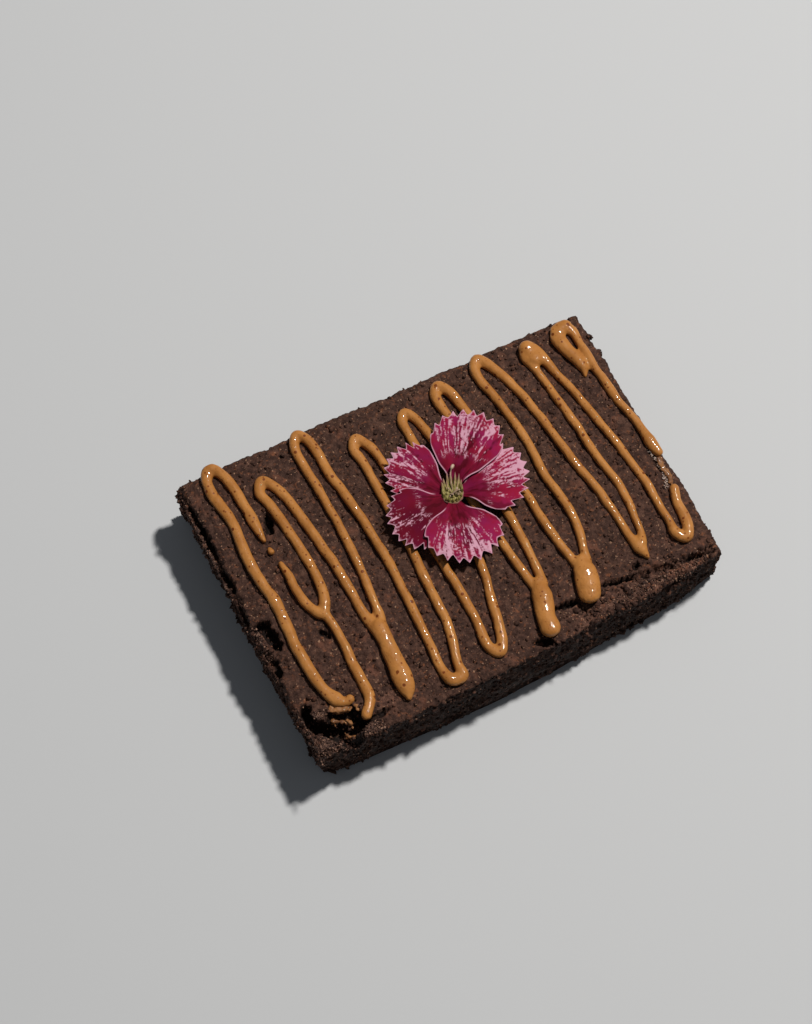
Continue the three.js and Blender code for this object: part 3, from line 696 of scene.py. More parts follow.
STROKES = [
    # First zigzag, broken off at both ends
    [
        [-34.9, -24.0, 1.0],
        [-36.0, -24.1, 0.85],
        [-37.2, -22.9, 1.35],
        *up([-39.5, -40.1, -39.2, -39.5, -38.5], 1.2),
        *turn(-38.6, 32.7, 1.75, 1.2, 1),
        [-35.9, 25, 1.15],
        [-35.5, 17, 1.0],
        [-35.4, 13.6, 0.45],
    ],
    # The bead that fell off its end
    [[-35.3, 11.4, 0.55], [-35.2, 10.8, 0.7]],
    # Second zigzag: a short hook, the long loop, and down to the first thick run
    [
        [-34.5, 7.6, 0.6],
        [-34.3, 3, 0.95],
        [-34.0, -2.2, 1.05],
        *turn(-31.9, -5.9, 1.5, 1.2, -1)[1:],
        *up([-31.1, -29.8, -29.6], 1.05),
        *turn(-30.3, 25.5, 1.5, 1.15, 1),
        *down([-27.5, -25.9, -24.9, -24.6], 1.05),
        [-23.7, -14, 1.2],
    ],
    # Branch from the hook down to the front left corner
    [
        [-31.4, -6.2, 1.1],
        [-30.9, -10, 0.95],
        [-31.1, -20, 1.1],
        [-31.3, -25.6, 1.2],
        [-33.3, -28.3, 1.2],
    ],
    # First thick run
    [
        [-23.1, -13.6, 1.8],
        [-23.3, -18, 1.72],
        [-23.5, -22, 1.78],
        [-23.75, -25.6, 2.1],
        [-24.1, -27.8, 1.5],
        [-24.4, -28.9, 0.65],
    ],
    # Third zigzag: the longest, three back turns
    [
        [-22.6, -14, 1.1],
        *up([-20.9, -20.6, -20.9, -21.8], 0.95),
        *turn(-19.5, 31.5, 1.5, 1.1, 1),
        *down([-17.2, -15.9, -15.3, -15.4, -15.8], 1.0),
        [-16.0, -27.8, 1.1],
        [-15.3, -29.6, 1.3],
        [-12.9, -29.8, 1.25],
        [-12.7, -27.4, 1.05],
        *up([-10.2, -10.0, -9.9, -10.4, -10.9], 1.0),
        *turn(-9.2, 25.2, 1.35, 1.05, 1),
        *down([-6.8, -6.4, -6.0, -5.5, -5.3], 1.0),
        *turn(-4.1, -28.9, 1.5, 1.1, -1),
        *up([1.0, 1.2, 1.3, 1.1, -1.0], 1.0),
        *turn(2.3, 25.7, 1.25, 1.1, 1),
        *down([4.5, 5.2, 5.9, 7.0, 8.2], 0.95),
    ],
    # Second thick run
    [
        [9.3, -19.6, 1.3],
        [8.8, -21.6, 1.95],
        [8.1, -24.2, 2.05],
        [7.3, -26.5, 1.95],
        [7.0, -28.8, 2.2],
    ],
    # Fourth zigzag
    [
        *up([10.1, 10.4, 10.9, 10.9, 10.3], 0.95),
        *turn(11.1, 28.1, 1.5, 1.2, 1),
        *down([13.7, 14.9, 16.0, 16.6, 18.0], 0.95),
    ],
    # Third thick run
    [[19.2, -19.4, 1.4], [18.7, -21.6, 2.3], [18.0, -24.2, 2.5], [17.4, -26.0, 2.3]],
    # Fifth zigzag
    [
        *up([20.5, 21.6, 21.5, 22.3, 20.2], 0.95),
        *turn(21.1, 29.8, 1.5, 1.15, 1),
        *down([25.4, 27.0, 28.2, 29.8, 30.4], 0.95),
        [31.0, -22, 1.4],
        [31.5, -24.6, 0.45],
    ],
    # Sixth zigzag, rising again at the right edge
    [
        [31.8, -21.2, 1.3],
        *up([31.2, 32.2, 32.8, 33.9, 32.5], 0.9),
        *turn(31.7, 27.6, 1.15, 1.25, 1),
        *down([34.2, 36.3, 37.8, 38.9, 39.0], 0.9),
        *turn(40.4, -24.4, 1.5, 1.2, -1),
        [42.4, -17, 1.0],
        [43.3, -14.1, 1.05],
    ],
    # The filled head of its back turn
    [[31.4, 26.9, 1.9], [31.9, 24.3, 1.8]],
    # Pool at the back right corner with its drip
    [
        [39.4, 16.2, 0.35],
        [40.0, 18.0, 1.05],
        [39.7, 20.4, 1.3],
        [38.6, 23.8, 1.5],
        [38.5, 26.4, 1.6],
        [40.2, 28.1, 1.5],
        [41.7, 26.6, 1.1],
        [41.8, 23.4, 0.92],
        *down([42.0, 42.5, 44.0], 0.95),
        [44.0, -2.6, 1.25],
        [44.5, -5.6, 0.95],
    ],
    [[39.0, 27.8, 1.6], [40.9, 28.0, 1.5]],
]

# %% Beads along the strokes
BEAD_CREST = 1.45
BEAD_SINK = 0.75
# The crest's height above and below the widest line of the section, as shares
ABOVE, BELOW = 0.64, 0.36
RING = 20
STEP = 0.3
TIP_STEPS = 6


def curve_through(control, per_span=24):
    """A centripetal Catmull-Rom curve: each span is a cubic whose end slopes come from the
    spacing of four points, with the spacing taken as the square root of the distance."""
    p = np.asarray(control, float)
    p = np.vstack([2 * p[0] - p[1], p, 2 * p[-1] - p[-2]])
    a, b, c, d = p[:-3], p[1:-2], p[2:-1], p[3:]
    ab, bc, cd = (np.sqrt(np.linalg.norm(v, axis=1))[:, None] for v in (b - a, c - b, d - c))
    start = ((b - a) / ab - (c - a) / (ab + bc) + (c - b) / bc) * bc
    end = ((c - b) / bc - (d - b) / (bc + cd) + (d - c) / cd) * bc
    u = (np.arange(per_span) / per_span)[None, :, None]
    b, c, start, end = (v[:, None] for v in (b, c, start, end))
    second, third = 3 * (c - b) - 2 * start - end, 2 * (b - c) + start + end
    cubic = b + start * u + second * u**2 + third * u**3
    return np.vstack([cubic.reshape(-1, 3), p[-2]])


def evenly(path, step):
    """The same path with points every step along it."""
    length = np.concatenate([[0], np.cumsum(np.linalg.norm(np.diff(path[:, :2], axis=0), axis=1))])
    places = np.linspace(0, length[-1], max(int(length[-1] / step), 3))
    return np.stack([np.interp(places, length, path[:, k]) for k in range(3)], -1), places


def bead(control, number):
    """A bead: half width and crest along the curve, both slightly uneven, with round tips. Its
    section is the upper half of one ellipse on the lower half of another."""
    path, place = evenly(curve_through(control), STEP)
    heading = np.gradient(path[:, :2], axis=0)
    heading /= np.linalg.norm(heading, axis=1, keepdims=True)
    tips = np.linspace(0, 1, TIP_STEPS + 1)[1:]
    first, last = path[0, 2], path[-1, 2]
    head = path[0, :2] - heading[0] * first * tips[::-1, None]
    tail = path[-1, :2] + heading[-1] * last * tips[:, None]
    middle_line = np.vstack([head, path[:, :2], tail])
    half_width = np.pad(path[:, 2], TIP_STEPS, "edge")
    heading = np.pad(heading, ((TIP_STEPS, TIP_STEPS), (0, 0)), "edge")
    run = np.pad(place, TIP_STEPS, "edge")
    share = np.ones(len(run))
    share[:TIP_STEPS] = np.sqrt(np.clip(1 - tips[::-1] ** 2, 0.003, 1))
    share[-TIP_STEPS:] = np.sqrt(np.clip(1 - tips**2, 0.003, 1))
    swells = 0.08 * noise(run, number, 3.1, 71)
    width = half_width * (1 + swells + 0.045 * noise(run, number, 1.3, 72))
    rises = 0.07 * noise(run, number, 2.9, 73) + 0.05 * noise(run, number, 1.3, 75)
    crest = BEAD_CREST * half_width**0.6 * (1 + rises)
    drift = 0.13 * noise(run, number, 2.8, 74)
    side = np.column_stack([heading[:, 1], -heading[:, 0]])
    middle = middle_line + side * drift[:, None]
    base = crust_level(middle[:, 0], middle[:, 1])
    angle = np.linspace(0, 2 * np.pi, RING, endpoint=False)
    across = np.cos(angle)[None] * (width * share)[:, None]
    up_part = np.maximum(np.sin(angle), 0)[None] * (ABOVE * crest * np.sqrt(share))[:, None]
    down_part = np.minimum(np.sin(angle), 0)[None] * ((BELOW * crest + BEAD_SINK) * share)[:, None]
    z = (base + BELOW * crest)[:, None] + up_part + down_part
    x = middle[:, :1] + side[:, :1] * across
    y = middle[:, 1:] + side[:, 1:] * across
    points = np.stack([x, y, z], -1)
    return closed_tube(points, np.stack([points[0].mean(0), points[-1].mean(0)]))


# %% [markdown]
# ## Nut butter
# The butter is a dull tan paste under a thin coat of oil, with specks of nut skin all through it.
# A painted picture of specks would need an unwrapped surface. A cell pattern through space gives
# round specks wherever the surface cuts a cell's middle, on any shape and without a seam.

# %% Nut-butter material


def butter_finish(name, light, dark, coat=0.45):
    """Tan with slow waves, and three sizes of reddish-brown specks of nut skin: round spots, one
    for each cell of a pattern where it comes to the surface. A smooth oily coat gives the small
    glints and the body below it is dull."""
    material, tree, shader = finish(
        name, 0.5, Specular_IOR_Level=0.12, Coat_Weight=coat, Coat_Roughness=0.07
    )
    tone = texture(tree, "ShaderNodeTexNoise", 4.0, Detail=4.0, Roughness=0.6)
    colour = ramp(tree, tone.outputs[0], (0.36, dark), (0.62, light))
    for size, radius, most, speck in (
        (2.5, 0.12, 0.90, (0.135, 0.026, 0.002)),
        (1.5, 0.13, 0.80, (0.150, 0.032, 0.003)),
        (0.8, 0.13, 0.60, (0.190, 0.048, 0.006)),
    ):
        specks = texture(tree, "ShaderNodeTexVoronoi", size)
        stops = (radius, (most,) * 3), (1.3 * radius, (0, 0, 0))
        share = ramp(tree, specks.outputs["Distance"], *stops)
        colour = blend(tree, share, colour, speck)
    tree.links.new(colour, shader.inputs["Base Color"])
    uneven = texture(tree, "ShaderNodeTexNoise", 0.95, Detail=1.5)
    bump(tree, shader, uneven.outputs[0], 0.20, 0.7)
    return material


butter = butter_finish("nut_butter", (0.44, 0.185, 0.046), (0.35, 0.138, 0.031))
# The smears' butter is darker than the drizzle's: partly thin butter over dark crumb, partly
# painted shade for smears that lie in shadow.
thin_butter_with_painted_shade = butter_finish("thin_butter_with_painted_shade", (0.30, 0.135, 0.050), (0.11, 0.045, 0.022), 0.15)

# %% Join the beads. The voxels are in metres; the margin leaves room for what joining moves
BEAD_VOXEL, SMEAR_VOXEL = 0.0003, 0.00016
BEAD_MARGIN = 0.15
bead_points, bead_quads, bead_caps, first_point = [], [], [], 0
for number, control in enumerate(STROKES):
    points, quads, caps = bead(control, 7 * number)
    bead_points.append(points)
    bead_quads.append(quads + first_point)
    bead_caps.append(caps + first_point)
    first_point += len(points)
bead_points = np.clip(np.vstack(bead_points), low + BEAD_MARGIN, high - BEAD_MARGIN)
bead_faces = [np.vstack(bead_quads), np.vstack(bead_caps)]
drizzle = piece("nut_butter_drizzle", bead_points, bead_faces, butter)


def apply_modifiers(obj):
    """Takes the result of the modifiers as the object's own mesh."""
    evaluated = obj.evaluated_get(bpy.context.evaluated_depsgraph_get())
    mesh = bpy.data.meshes.new_from_object(evaluated)
    obj.modifiers.clear()
    obj.data = mesh


def voxel_join(obj, voxel, rounds):
    """Joins all parts of an object into one closed surface and smooths it."""
    remesh = obj.modifiers.new("join", "REMESH")
    remesh.mode = "VOXEL"
    remesh.voxel_size = voxel
    remesh.use_smooth_shade = True
    relax = obj.modifiers.new("relax", "SMOOTH")
    relax.factor = 0.5
    relax.iterations = rounds
    apply_modifiers(obj)
    print(f"{obj.name} after joining: {len(obj.data.polygons)} quads")


voxel_join(drizzle, BEAD_VOXEL, 4)
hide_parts("brownie")

# %% [markdown]
# ## The flower
# It is a garden pink: five petals, each a narrow claw that fans out to a toothed margin, crimson
# with pale streaks, and a green throat. A petal is one sheet with two parameters, the angle
# across it and the distance out, so its grid follows the veins and its teeth fall on grid lines.
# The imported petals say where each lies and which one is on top.

# %% Petal shape. Angles are in degrees, from the x axis; rise is the height at the two sides
FLOWER = np.array([2.5, 4.6])
LIMB_HEIGHT = SLAB_HEIGHT + 3.05
PETAL_THICKNESS = 0.4
PETAL_START = 2.15
TEETH = 11
TOOTH_DEPTH = 1.3
PETALS = {
    "petal_top": dict(start=13, end=85.5, length=18.7, slant=-0.02, rise=(0.66, -0.15)),
    "petal_right": dict(start=-50, end=31, length=16.4, slant=0.1, rise=(0.2, -0.45)),
    "petal_bottom": dict(start=-152, end=-56, length=15.6, slant=0.04, rise=(0.66, -0.15)),
    "petal_lower_left": dict(start=146, end=230, length=15.0, slant=0.04, rise=(0.48, -0.48)),
    "petal_upper_left": dict(start=88.5, end=160, length=15.3, slant=-0.06, rise=(0.1, -0.5)),
}
# How each petal is marked: how much white it has, how much painted shade darkens it all over
# (for petals that face away from the light), and where its white bands lie, each as its place
# across the petal (-1 to 1) and its width.
TOP_BANDS = [(0.58, 0.22), (0.12, 0.20), (-0.45, 0.12)]
MARKS = {
    "petal_top": dict(streaks=0.50, painted_shade=0, bands=TOP_BANDS, seed=1),
    "petal_right": dict(streaks=0.46, painted_shade=0, bands=[(0.60, 0.30), (0.08, 0.28)], seed=2),
    "petal_bottom": dict(streaks=0.52, painted_shade=0, bands=[(0.32, 0.22), (-0.36, 0.20)], seed=3),
    "petal_lower_left": dict(streaks=-0.27, painted_shade=0.9, bands=[(0.1, 0.7)], seed=4),
    "petal_upper_left": dict(streaks=0.36, painted_shade=0.35, bands=[(0.60, 0.28), (-0.15, 0.22)], seed=5),
}
ACROSS_TOOTH = 14
OUT_STEPS = 96
# The share of the rows that lie inside the toothed edge
ROWS_INSIDE = 0.88


def saw(value):
    """1 at whole numbers plus a half, 0 at whole numbers, straight between."""
    return 1 - np.abs(2 * (value - np.floor(value)) - 1)


def petal_outline(t, length, slant):
    """Distance of the tooth tips from the flower's middle: a flat circle, lopsided by slant."""
    return length * (0.56 + 0.44 * np.sqrt(1 - t**2)) * (1 + slant * t)


def petal_folds(t, seed):
    """Radial folds: -1 to 1 across the petal, uneven in width."""
    return 0.7 * noise(3.1 * t + 0.4 * seed, seed, 1, 83) + 0.5 * noise(7.3 * t, seed, 1, 85)


def petal_grid(start, end, length, slant, rise, seed):
    """Points of the petal's middle sheet, and for each its share across (-1 to 1), its distance
    out, how far it lies inside the toothed edge, and its angle."""
    t = np.linspace(-1, 1, TEETH * ACROSS_TOOTH + 1)[:, None]
    s = np.linspace(0, 1, OUT_STEPS + 1)[None, :]
    outline = petal_outline(t, length, slant)
    tooth = saw(TEETH * (t + 1) / 2 + 0.16 * noise(5.3 * t, seed, 1, 82) * (1 - t**4)) ** 1.35
    uneven_depth = 1.1 + 0.4 * noise(6.1 * t, seed, 1, 81)
    edge = outline - TOOTH_DEPTH * uneven_depth * (1 - t**6) * (1 - tooth)
    inner = outline - 1.35 * TOOTH_DEPTH
    within = mix(PETAL_START, inner, s / ROWS_INSIDE)
    beyond = mix(inner, edge, (s - ROWS_INSIDE) / (1 - ROWS_INSIDE))
    out = mix(within, beyond, s > ROWS_INSIDE)
    opening = mix(0.74, 1, ease(out, 3, 7.5))
    half_spread = np.radians((end - start) / 2)
    angle = half_spread * t * opening + np.radians((start + end) / 2)
    x, y = out * np.cos(angle), out * np.sin(angle)
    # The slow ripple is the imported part's own
    z = mix(rise[0], rise[1], (t + 1) / 2) * ease(out, 0.5, 4)
    z = z - 0.7 * (1 - ease(out, PETAL_START, 6)) + 0.3 * noise(x, y, 6, 61)
    fold = petal_folds(t, seed) * ease(out, 3, 6) * (1 - 0.7 * ease(out, 9, 15)) * (1 - t**4)
    wave = 0.05 * noise(9.0 * t, out * 0.25 + seed, 1, 84) * ease(out, 8, 13)
    inside = np.minimum(edge - out, (1 - np.abs(t)) * half_spread * opening * out)
    return np.stack([x, y, z + 0.09 * fold + wave], -1), t, out, np.maximum(inside, 0), angle


# %% [markdown]
# ## Petal colours
# The petals are crimson, darker towards the throat, with white on their teeth and in streaks that
# follow the veins. A pattern through space can't follow a vein, so two masks are worked out from
# each petal's own two parameters and kept on its points, where the material reads them by name.

# %% Petal colours


def petal_masks(t, out, inside, angle, length, slant, streaks, painted_shade, bands, seed):
    """Two masks. pale is the white: the thin margin, the tips of the teeth, radial streaks that
    thicken outwards, and a broken scalloped arc. The second mask is the dark red near the throat,
    with painted shade added in the valleys of the folds and over whole petals that face away from
    the light."""
    reach = out / length
    arc_place = 0.42 + 0.06 * np.abs(np.sin(2.2 * np.pi * t + seed))
    arc_place = arc_place + 0.02 * noise(9 * t, seed, 1, 91)
    along = angle * length * 0.66
    fine = 0.7 * noise(along, out * 0.13 + 3.1 * seed, 0.30, 92)
    fine = fine + 0.6 * noise(along, out * 0.16, 0.19, 96)
    broad = noise(along, out * 0.22 - 5.7 * seed, 2.4, 93)
    dots = noise(along, out * 0.7, 0.5, 94)
    grains = noise(along, out, 0.22, 97)
    dense = sum(np.exp(-(((t - middle) / width) ** 2)) for middle, width in bands)
    amount = streaks - 0.75 + 0.75 * dense + 0.3 * broad + 0.9 * (reach - 0.72)
    amount = amount - 0.9 * np.abs(t) ** 4
    beyond = ease(reach, arc_place - 0.01, arc_place + 0.08)
    streak = 0.95 * ease(fine + 0.35 * dots + 0.5 * grains + amount, 0.05, 0.75) * beyond
    arc = np.exp(-(((reach - arc_place - 0.02) / 0.03) ** 2))
    broken_up = 0.8 * grains + 0.6 * fine + 0.3 * dots + 0.5 * dense
    arc = arc * ease(broken_up, 0.15, 0.8) * (1 - np.abs(t) ** 6)
    tips = ease(0.95 - (petal_outline(t, length, slant) - out), 0.0, 0.75)
    margin = 0.9 * (1 - ease(inside, 0.10, 0.32))
    pale = np.maximum.reduce([streak, 0.75 * arc, 0.9 * tips * np.ones_like(streak), margin])
    deep_red_and_painted_shade = 1 - ease(reach + 0.05 * noise(5 * t, seed, 1, 95), 0.28, 0.72)
    # Painted shade in the valleys of the folds.
    painted_fold_shade = ease(-petal_folds(t, seed) + 0.3 * dots, -0.15, 0.4) * (1 - ease(reach, 0.6, 1.1))
    deep_red_and_painted_shade = np.maximum(deep_red_and_painted_shade * (0.65 + 0.35 * ease(-petal_folds(t, seed), -0.5, 0.2)), 0.95 * painted_fold_shade)
    mottle = noise(along, out * 0.7, 1.2, 98) + 0.5 * dots
    # Painted shade over a whole petal that faces away from the light.
    deep_red_and_painted_shade = np.maximum(deep_red_and_painted_shade * mix(0.7, 1, ease(mottle, -0.4, 0.3)), painted_shade * (0.75 + 0.25 * broad))
    return np.clip(pale, 0, 1) * ease(out, 3.2, 4.6), np.clip(deep_red_and_painted_shade, 0, 1)


def petal_finish():
    """Crimson to magenta by slow noise, darkened by dark red and painted shade, whitened by pale.
    """
    material, tree, shader = finish("crimson_petal", 0.7, Specular_IOR_Level=0.03)
    tone = texture(tree, "ShaderNodeTexNoise", 3.0, Detail=2.0)
    colour = ramp(tree, tone.outputs[0], (0.38, (0.27, 0.009, 0.036)), (0.66, (0.25, 0.012, 0.070)))
    masks = {}
    for name in ("pale", "deep_red_and_painted_shade"):
        masks[name] = tree.nodes.new("ShaderNodeAttribute")
        masks[name].attribute_name = name
    # Dark red near the throat, and painted shade in the folds and on petals facing away from the
    # light.
    colour = blend(tree, masks["deep_red_and_painted_shade"].outputs["Fac"], colour, (0.068, 0.0025, 0.0080))
    colour = blend(tree, masks["pale"].outputs["Fac"], colour, (0.60, 0.32, 0.41))
    tree.links.new(colour, shader.inputs["Base Color"])
    return material


# %% Make the petals
flower_place = np.array([*FLOWER, LIMB_HEIGHT])
petal_material = petal_finish()
for name, petal in PETALS.items():
    marks = MARKS[name]
    sheet, t, out, inside, angle = petal_grid(**petal, seed=marks["seed"])
    size = dict(length=petal["length"], slant=petal["slant"])
    pale, deep_red_and_painted_shade = petal_masks(t, out, inside, angle, **size, **marks)
    thickness = PETAL_THICKNESS * mix(0.45, 1.0, ease(inside, 0.0, 0.9))
    shape = sheet.shape[:2]
    half = np.stack([0 * thickness, 0 * thickness, thickness / 2], -1)
    upper = sheet + flower_place + half
    lower = sheet + flower_place - half
    index = np.arange(shape[0] * shape[1]).reshape(shape)
    beneath = index + index.size
    rim = border(index)
    side = skin(np.vstack([rim, rim + index.size]), True)[:, ::-1]
    points = np.concatenate([upper.reshape(-1, 3), lower.reshape(-1, 3)])
    faces = np.concatenate([skin(index), skin(beneath)[:, ::-1], side])
    obj = piece(name + "_bloom", points, [faces], petal_material)
    for mask_name, mask in (("pale", pale), ("deep_red_and_painted_shade", deep_red_and_painted_shade)):
        point_values(obj, mask_name, np.concatenate([(mask * np.ones(shape)).ravel()] * 2))
    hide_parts(name)

# %% [markdown]
# ## The throat
# Deep in the flower the petals narrow to pale green claws. Pale styles stand between them: a long
# one that leans over the top petal, two that curl, and five small ones. The claws are tapered
# blades round a small green base, and a value on their points, from 0 at the foot to 1 at the tip,
# turns the green to a faded pink. Blades and styles could be curves with a bevel, but a ring of
# points carried along a path gives the flat section and the pointed ends in one step.

# %% Throat parts


def tube(path, radius, ring=8, flat=1.0):
    """A tube along a path, with pointed ends: a circle in the plane across the path, flattened
    from above by the factor flat."""
    forward = np.gradient(path, axis=0)
    forward /= np.linalg.norm(forward, axis=1, keepdims=True)
    side = np.cross(forward, [0.13, 0.31, 0.94])
    side /= np.linalg.norm(side, axis=1, keepdims=True)
    over = np.cross(forward, side)
    angle = np.linspace(0, 2 * np.pi, ring, endpoint=False)[None, :, None]
    around = np.cos(angle) * side[:, None] + flat * np.sin(angle) * over[:, None]
    points = path[:, None] + around * np.reshape(radius, (-1, 1, 1))
    return closed_tube(points, np.stack([path[0], path[-1]]))


def gather(parts):
    """Several tubes as one set of points and faces."""
    starts = np.cumsum([0] + [len(part[0]) for part in parts[:-1]])
    points = np.vstack([part[0] for part in parts])
    quads = np.vstack([part[1] + start for part, start in zip(parts, starts)])
    caps = np.vstack([part[2] + start for part, start in zip(parts, starts)])
    return points, quads, caps


# %% The base: a low cup with ten soft folds. Each row of its profile: radius, height
BASE_RING = 40
BASE_FOLDS = 10
base_profile = np.array(
    [
        [0.02, -1.15],
        [1.3, -1.15],
        [2.0, -1.05],
        [2.35, -0.7],
        [2.3, -0.42],
        [1.8, -0.22],
        [1.1, -0.25],
        [0.02, -0.35],
    ]
)
turned = np.linspace(0, 2 * np.pi, BASE_RING, endpoint=False)[None, :]
base_r = base_profile[:, :1] * (1 - 0.03 * (1 + np.cos(BASE_FOLDS * turned)))
base_z = base_profile[:, 1:] + 0 * turned
base_points = np.stack([base_r * np.cos(turned), base_r * np.sin(turned), base_z], -1)
base_poles = np.array([[0, 0, base_profile[0, 1]], [0, 0, base_profile[-1, 1]]])
throat_parts = [closed_tube(base_points, base_poles)]

# %% The claws
# They stand up inside the base's rim and all lean the same way, towards the top petal. Each
# row: count, radius of the feet, half width, reach.
UPWARD = np.radians(66)
LEAN = np.array([np.cos(UPWARD), np.sin(UPWARD)])
BLADE_RING = 8
CLAW_RINGS = [(16, 1.85, 0.34, 1.0), (10, 1.1, 0.27, 0.8), (5, 0.45, 0.22, 0.5)]
blade_draw = np.random.default_rng(14)
rim_tip = np.append(np.repeat(ease(base_profile[:, 0], 1.8, 2.3), BASE_RING), [0, 0])
blade_tips = [rim_tip]
along = np.linspace(0, 1, 14)[:, None]


def add_claw(path, half_width, fade):
    """A flattened blade, broad at the foot and pointed at the tip, with its own tip values."""
    width = half_width * (1 - along[:, 0] ** 2.2) + 0.01
    throat_parts.append(tube(path, width, BLADE_RING, 0.5))
    blade_tips.append(np.append(np.repeat(along[:, 0], BLADE_RING), [0, 1]) * fade)


for count, foot, half_width, reach in CLAW_RINGS:
    for number in range(count):
        angle = 2 * np.pi * number / count + blade_draw.uniform(-0.12, 0.12)
        around = np.array([np.cos(angle), np.sin(angle)])
        ahead = ease(around @ LEAN, -0.6, 1.0)
        length = reach * mix(0.75, 2.3, ahead) * blade_draw.uniform(0.85, 1.1)
        swerve = around * mix(0.05, 0.25, ahead) + LEAN
        flat_path = around * foot + swerve * length * along**1.3
        height = -0.55 + 0.95 * reach * np.sin(1.9 * along) * mix(1, 0.75, ahead)
        add_claw(np.hstack([flat_path, height]), half_width, mix(0.45, 1, ahead))

# %% The styles: thin stalks. Each row: its radius, the radius of its end, points of the stalk
LONG_STALK = [[0.2, 0.3, -0.5], [0.7, 1.8, 0.6], [1.3, 3.3, 0.9], [2.0, 4.4, 1.0], [2.9, 5.1, 1.0]]
STYLES = [
    (0.08, 0.36, LONG_STALK),
    (0.17, 0.20, [[-0.3, -0.2, -0.5], [0.1, -0.3, 0.6], [0.7, -0.3, 1.1], [1.2, 0.3, 1.2]]),
    (0.13, 0.17, [[-0.6, 0.0, -0.5], [-0.5, -0.2, 0.4], [-0.1, -0.7, 0.8]]),
]
# The small ones point outwards. Each row: the angle in degrees, the length.
SMALL_STYLES = [(-8, 1.6), (-30, 1.7), (-50, 1.5), (215, 1.2), (110, 1.3)]
style_parts = []
for stalk_radius, end_radius, style in STYLES:
    path = curve_through(style, 10)
    share = np.linspace(0, 1, len(path))
    bulge = np.sqrt(np.clip(1 - ((share - 0.87) / 0.14) ** 2, 0, 1))
    tip = np.sqrt(np.clip(30 * (1.001 - share), 0, 1))
    style_parts.append(tube(path, mix(stalk_radius, end_radius, bulge) * tip, 10))
for angle, length in SMALL_STYLES:
    ahead = np.array([np.cos(np.radians(angle)), np.sin(np.radians(angle))])
    reach_and_height = (0.2, -0.4), (0.6 * length, 0.4), (length, 0.6)
    path = curve_through([[*(reach * ahead), height] for reach, height in reach_and_height], 6)
    share = np.linspace(0, 1, len(path))
    tip = np.sqrt(np.clip(8 * (1.02 - share), 0, 1))
    style_parts.append(tube(path, mix(0.06, 0.19, ease(share, 0.6, 0.85)) * tip, 8))

# %% Throat materials and pieces
green, tree, shader = finish("throat_green", 0.6, Specular_IOR_Level=0.2)
tone = texture(tree, "ShaderNodeTexNoise", 0.9, Detail=3.0)
greens = (0.075, 0.062, 0.016), (0.21, 0.180, 0.044), (0.37, 0.305, 0.120)
colour = ramp(tree, tone.outputs[0], *zip((0.32, 0.5, 0.7), greens))
tip = tree.nodes.new("ShaderNodeAttribute")
tip.attribute_name = "tip"
tip_share = ramp(tree, tip.outputs["Fac"], (0.30, (0, 0, 0)), (0.85, (0.85, 0.85, 0.85)))
colour = blend(tree, tip_share, colour, (0.30, 0.14, 0.125))
tree.links.new(colour, shader.inputs["Base Color"])
points, quads, caps = gather(throat_parts)
throat = piece("throat_claws", points + flower_place, [quads, caps], green)
point_values(throat, "tip", np.concatenate(blade_tips))
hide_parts("flower_heart")

cream, tree, shader = finish("style_cream", 0.45, Specular_IOR_Level=0.4)
tone = texture(tree, "ShaderNodeTexNoise", 1.2, Detail=2.0)
colour = ramp(tree, tone.outputs[0], (0.35, (0.34, 0.22, 0.15)), (0.65, (0.52, 0.38, 0.28)))
tree.links.new(colour, shader.inputs["Base Color"])
points, quads, caps = gather(style_parts)
styles = piece("curled_styles", points + flower_place, [quads, caps], cream)

# %% [markdown]
# ## Nut granules and smears
# At the right edge the drizzle has dragged out into a string of pale nut granules over a thin
# smear, and more smears cling to the broken corner. The granules are small lumps again. A smear
# starts as lumps too, but a voxel remesh joins them and a smoothing makes them run together.

# %% Granules


def along_line(line, count, spread):
    """Points at random along a broken line, moved aside by a normal amount."""
    line = np.array(line)
    length = np.concatenate([[0], np.cumsum(np.linalg.norm(np.diff(line, axis=0), axis=1))])
    place = draw.uniform(0, length[-1], count)
    xy = np.stack([np.interp(place, length, line[:, k]) for k in (0, 1)], -1)
    return xy + spread * np.clip(draw.normal(0, 1, (count, 2)), -2, 2)


granule, tree, shader = finish("nut_granule", 0.3, Specular_IOR_Level=0.5)
tone = texture(tree, "ShaderNodeTexNoise", 0.7, Detail=1.0)
colour = ramp(tree, tone.outputs[0], (0.35, (0.26, 0.14, 0.08)), (0.62, (0.50, 0.41, 0.36)))
tree.links.new(colour, shader.inputs["Base Color"])
GRANULES = 190
STRING = [
    [43.6, -1.6],
    [43.0, -4.2],
    [43.1, -5.5],
    [43.5, -7.0],
    [43.1, -8.4],
    [43.6, -9.6],
    [43.0, -10.8],
    [42.6, -12.4],
    [41.9, -13.3],
]
granule_xy = along_line(STRING, GRANULES, 0.2)
granule_z = top_height(granule_xy[:, 0], granule_xy[:, 1]) + 0.2
granule_places = np.column_stack([granule_xy, granule_z])
granule_sizes = draw.uniform(0.06, 0.19, (GRANULES, 1)) * draw.uniform(0.7, 1.2, (GRANULES, 3))
granules = lumps("nut_granules", granule_places, granule_sizes, granule, 31)

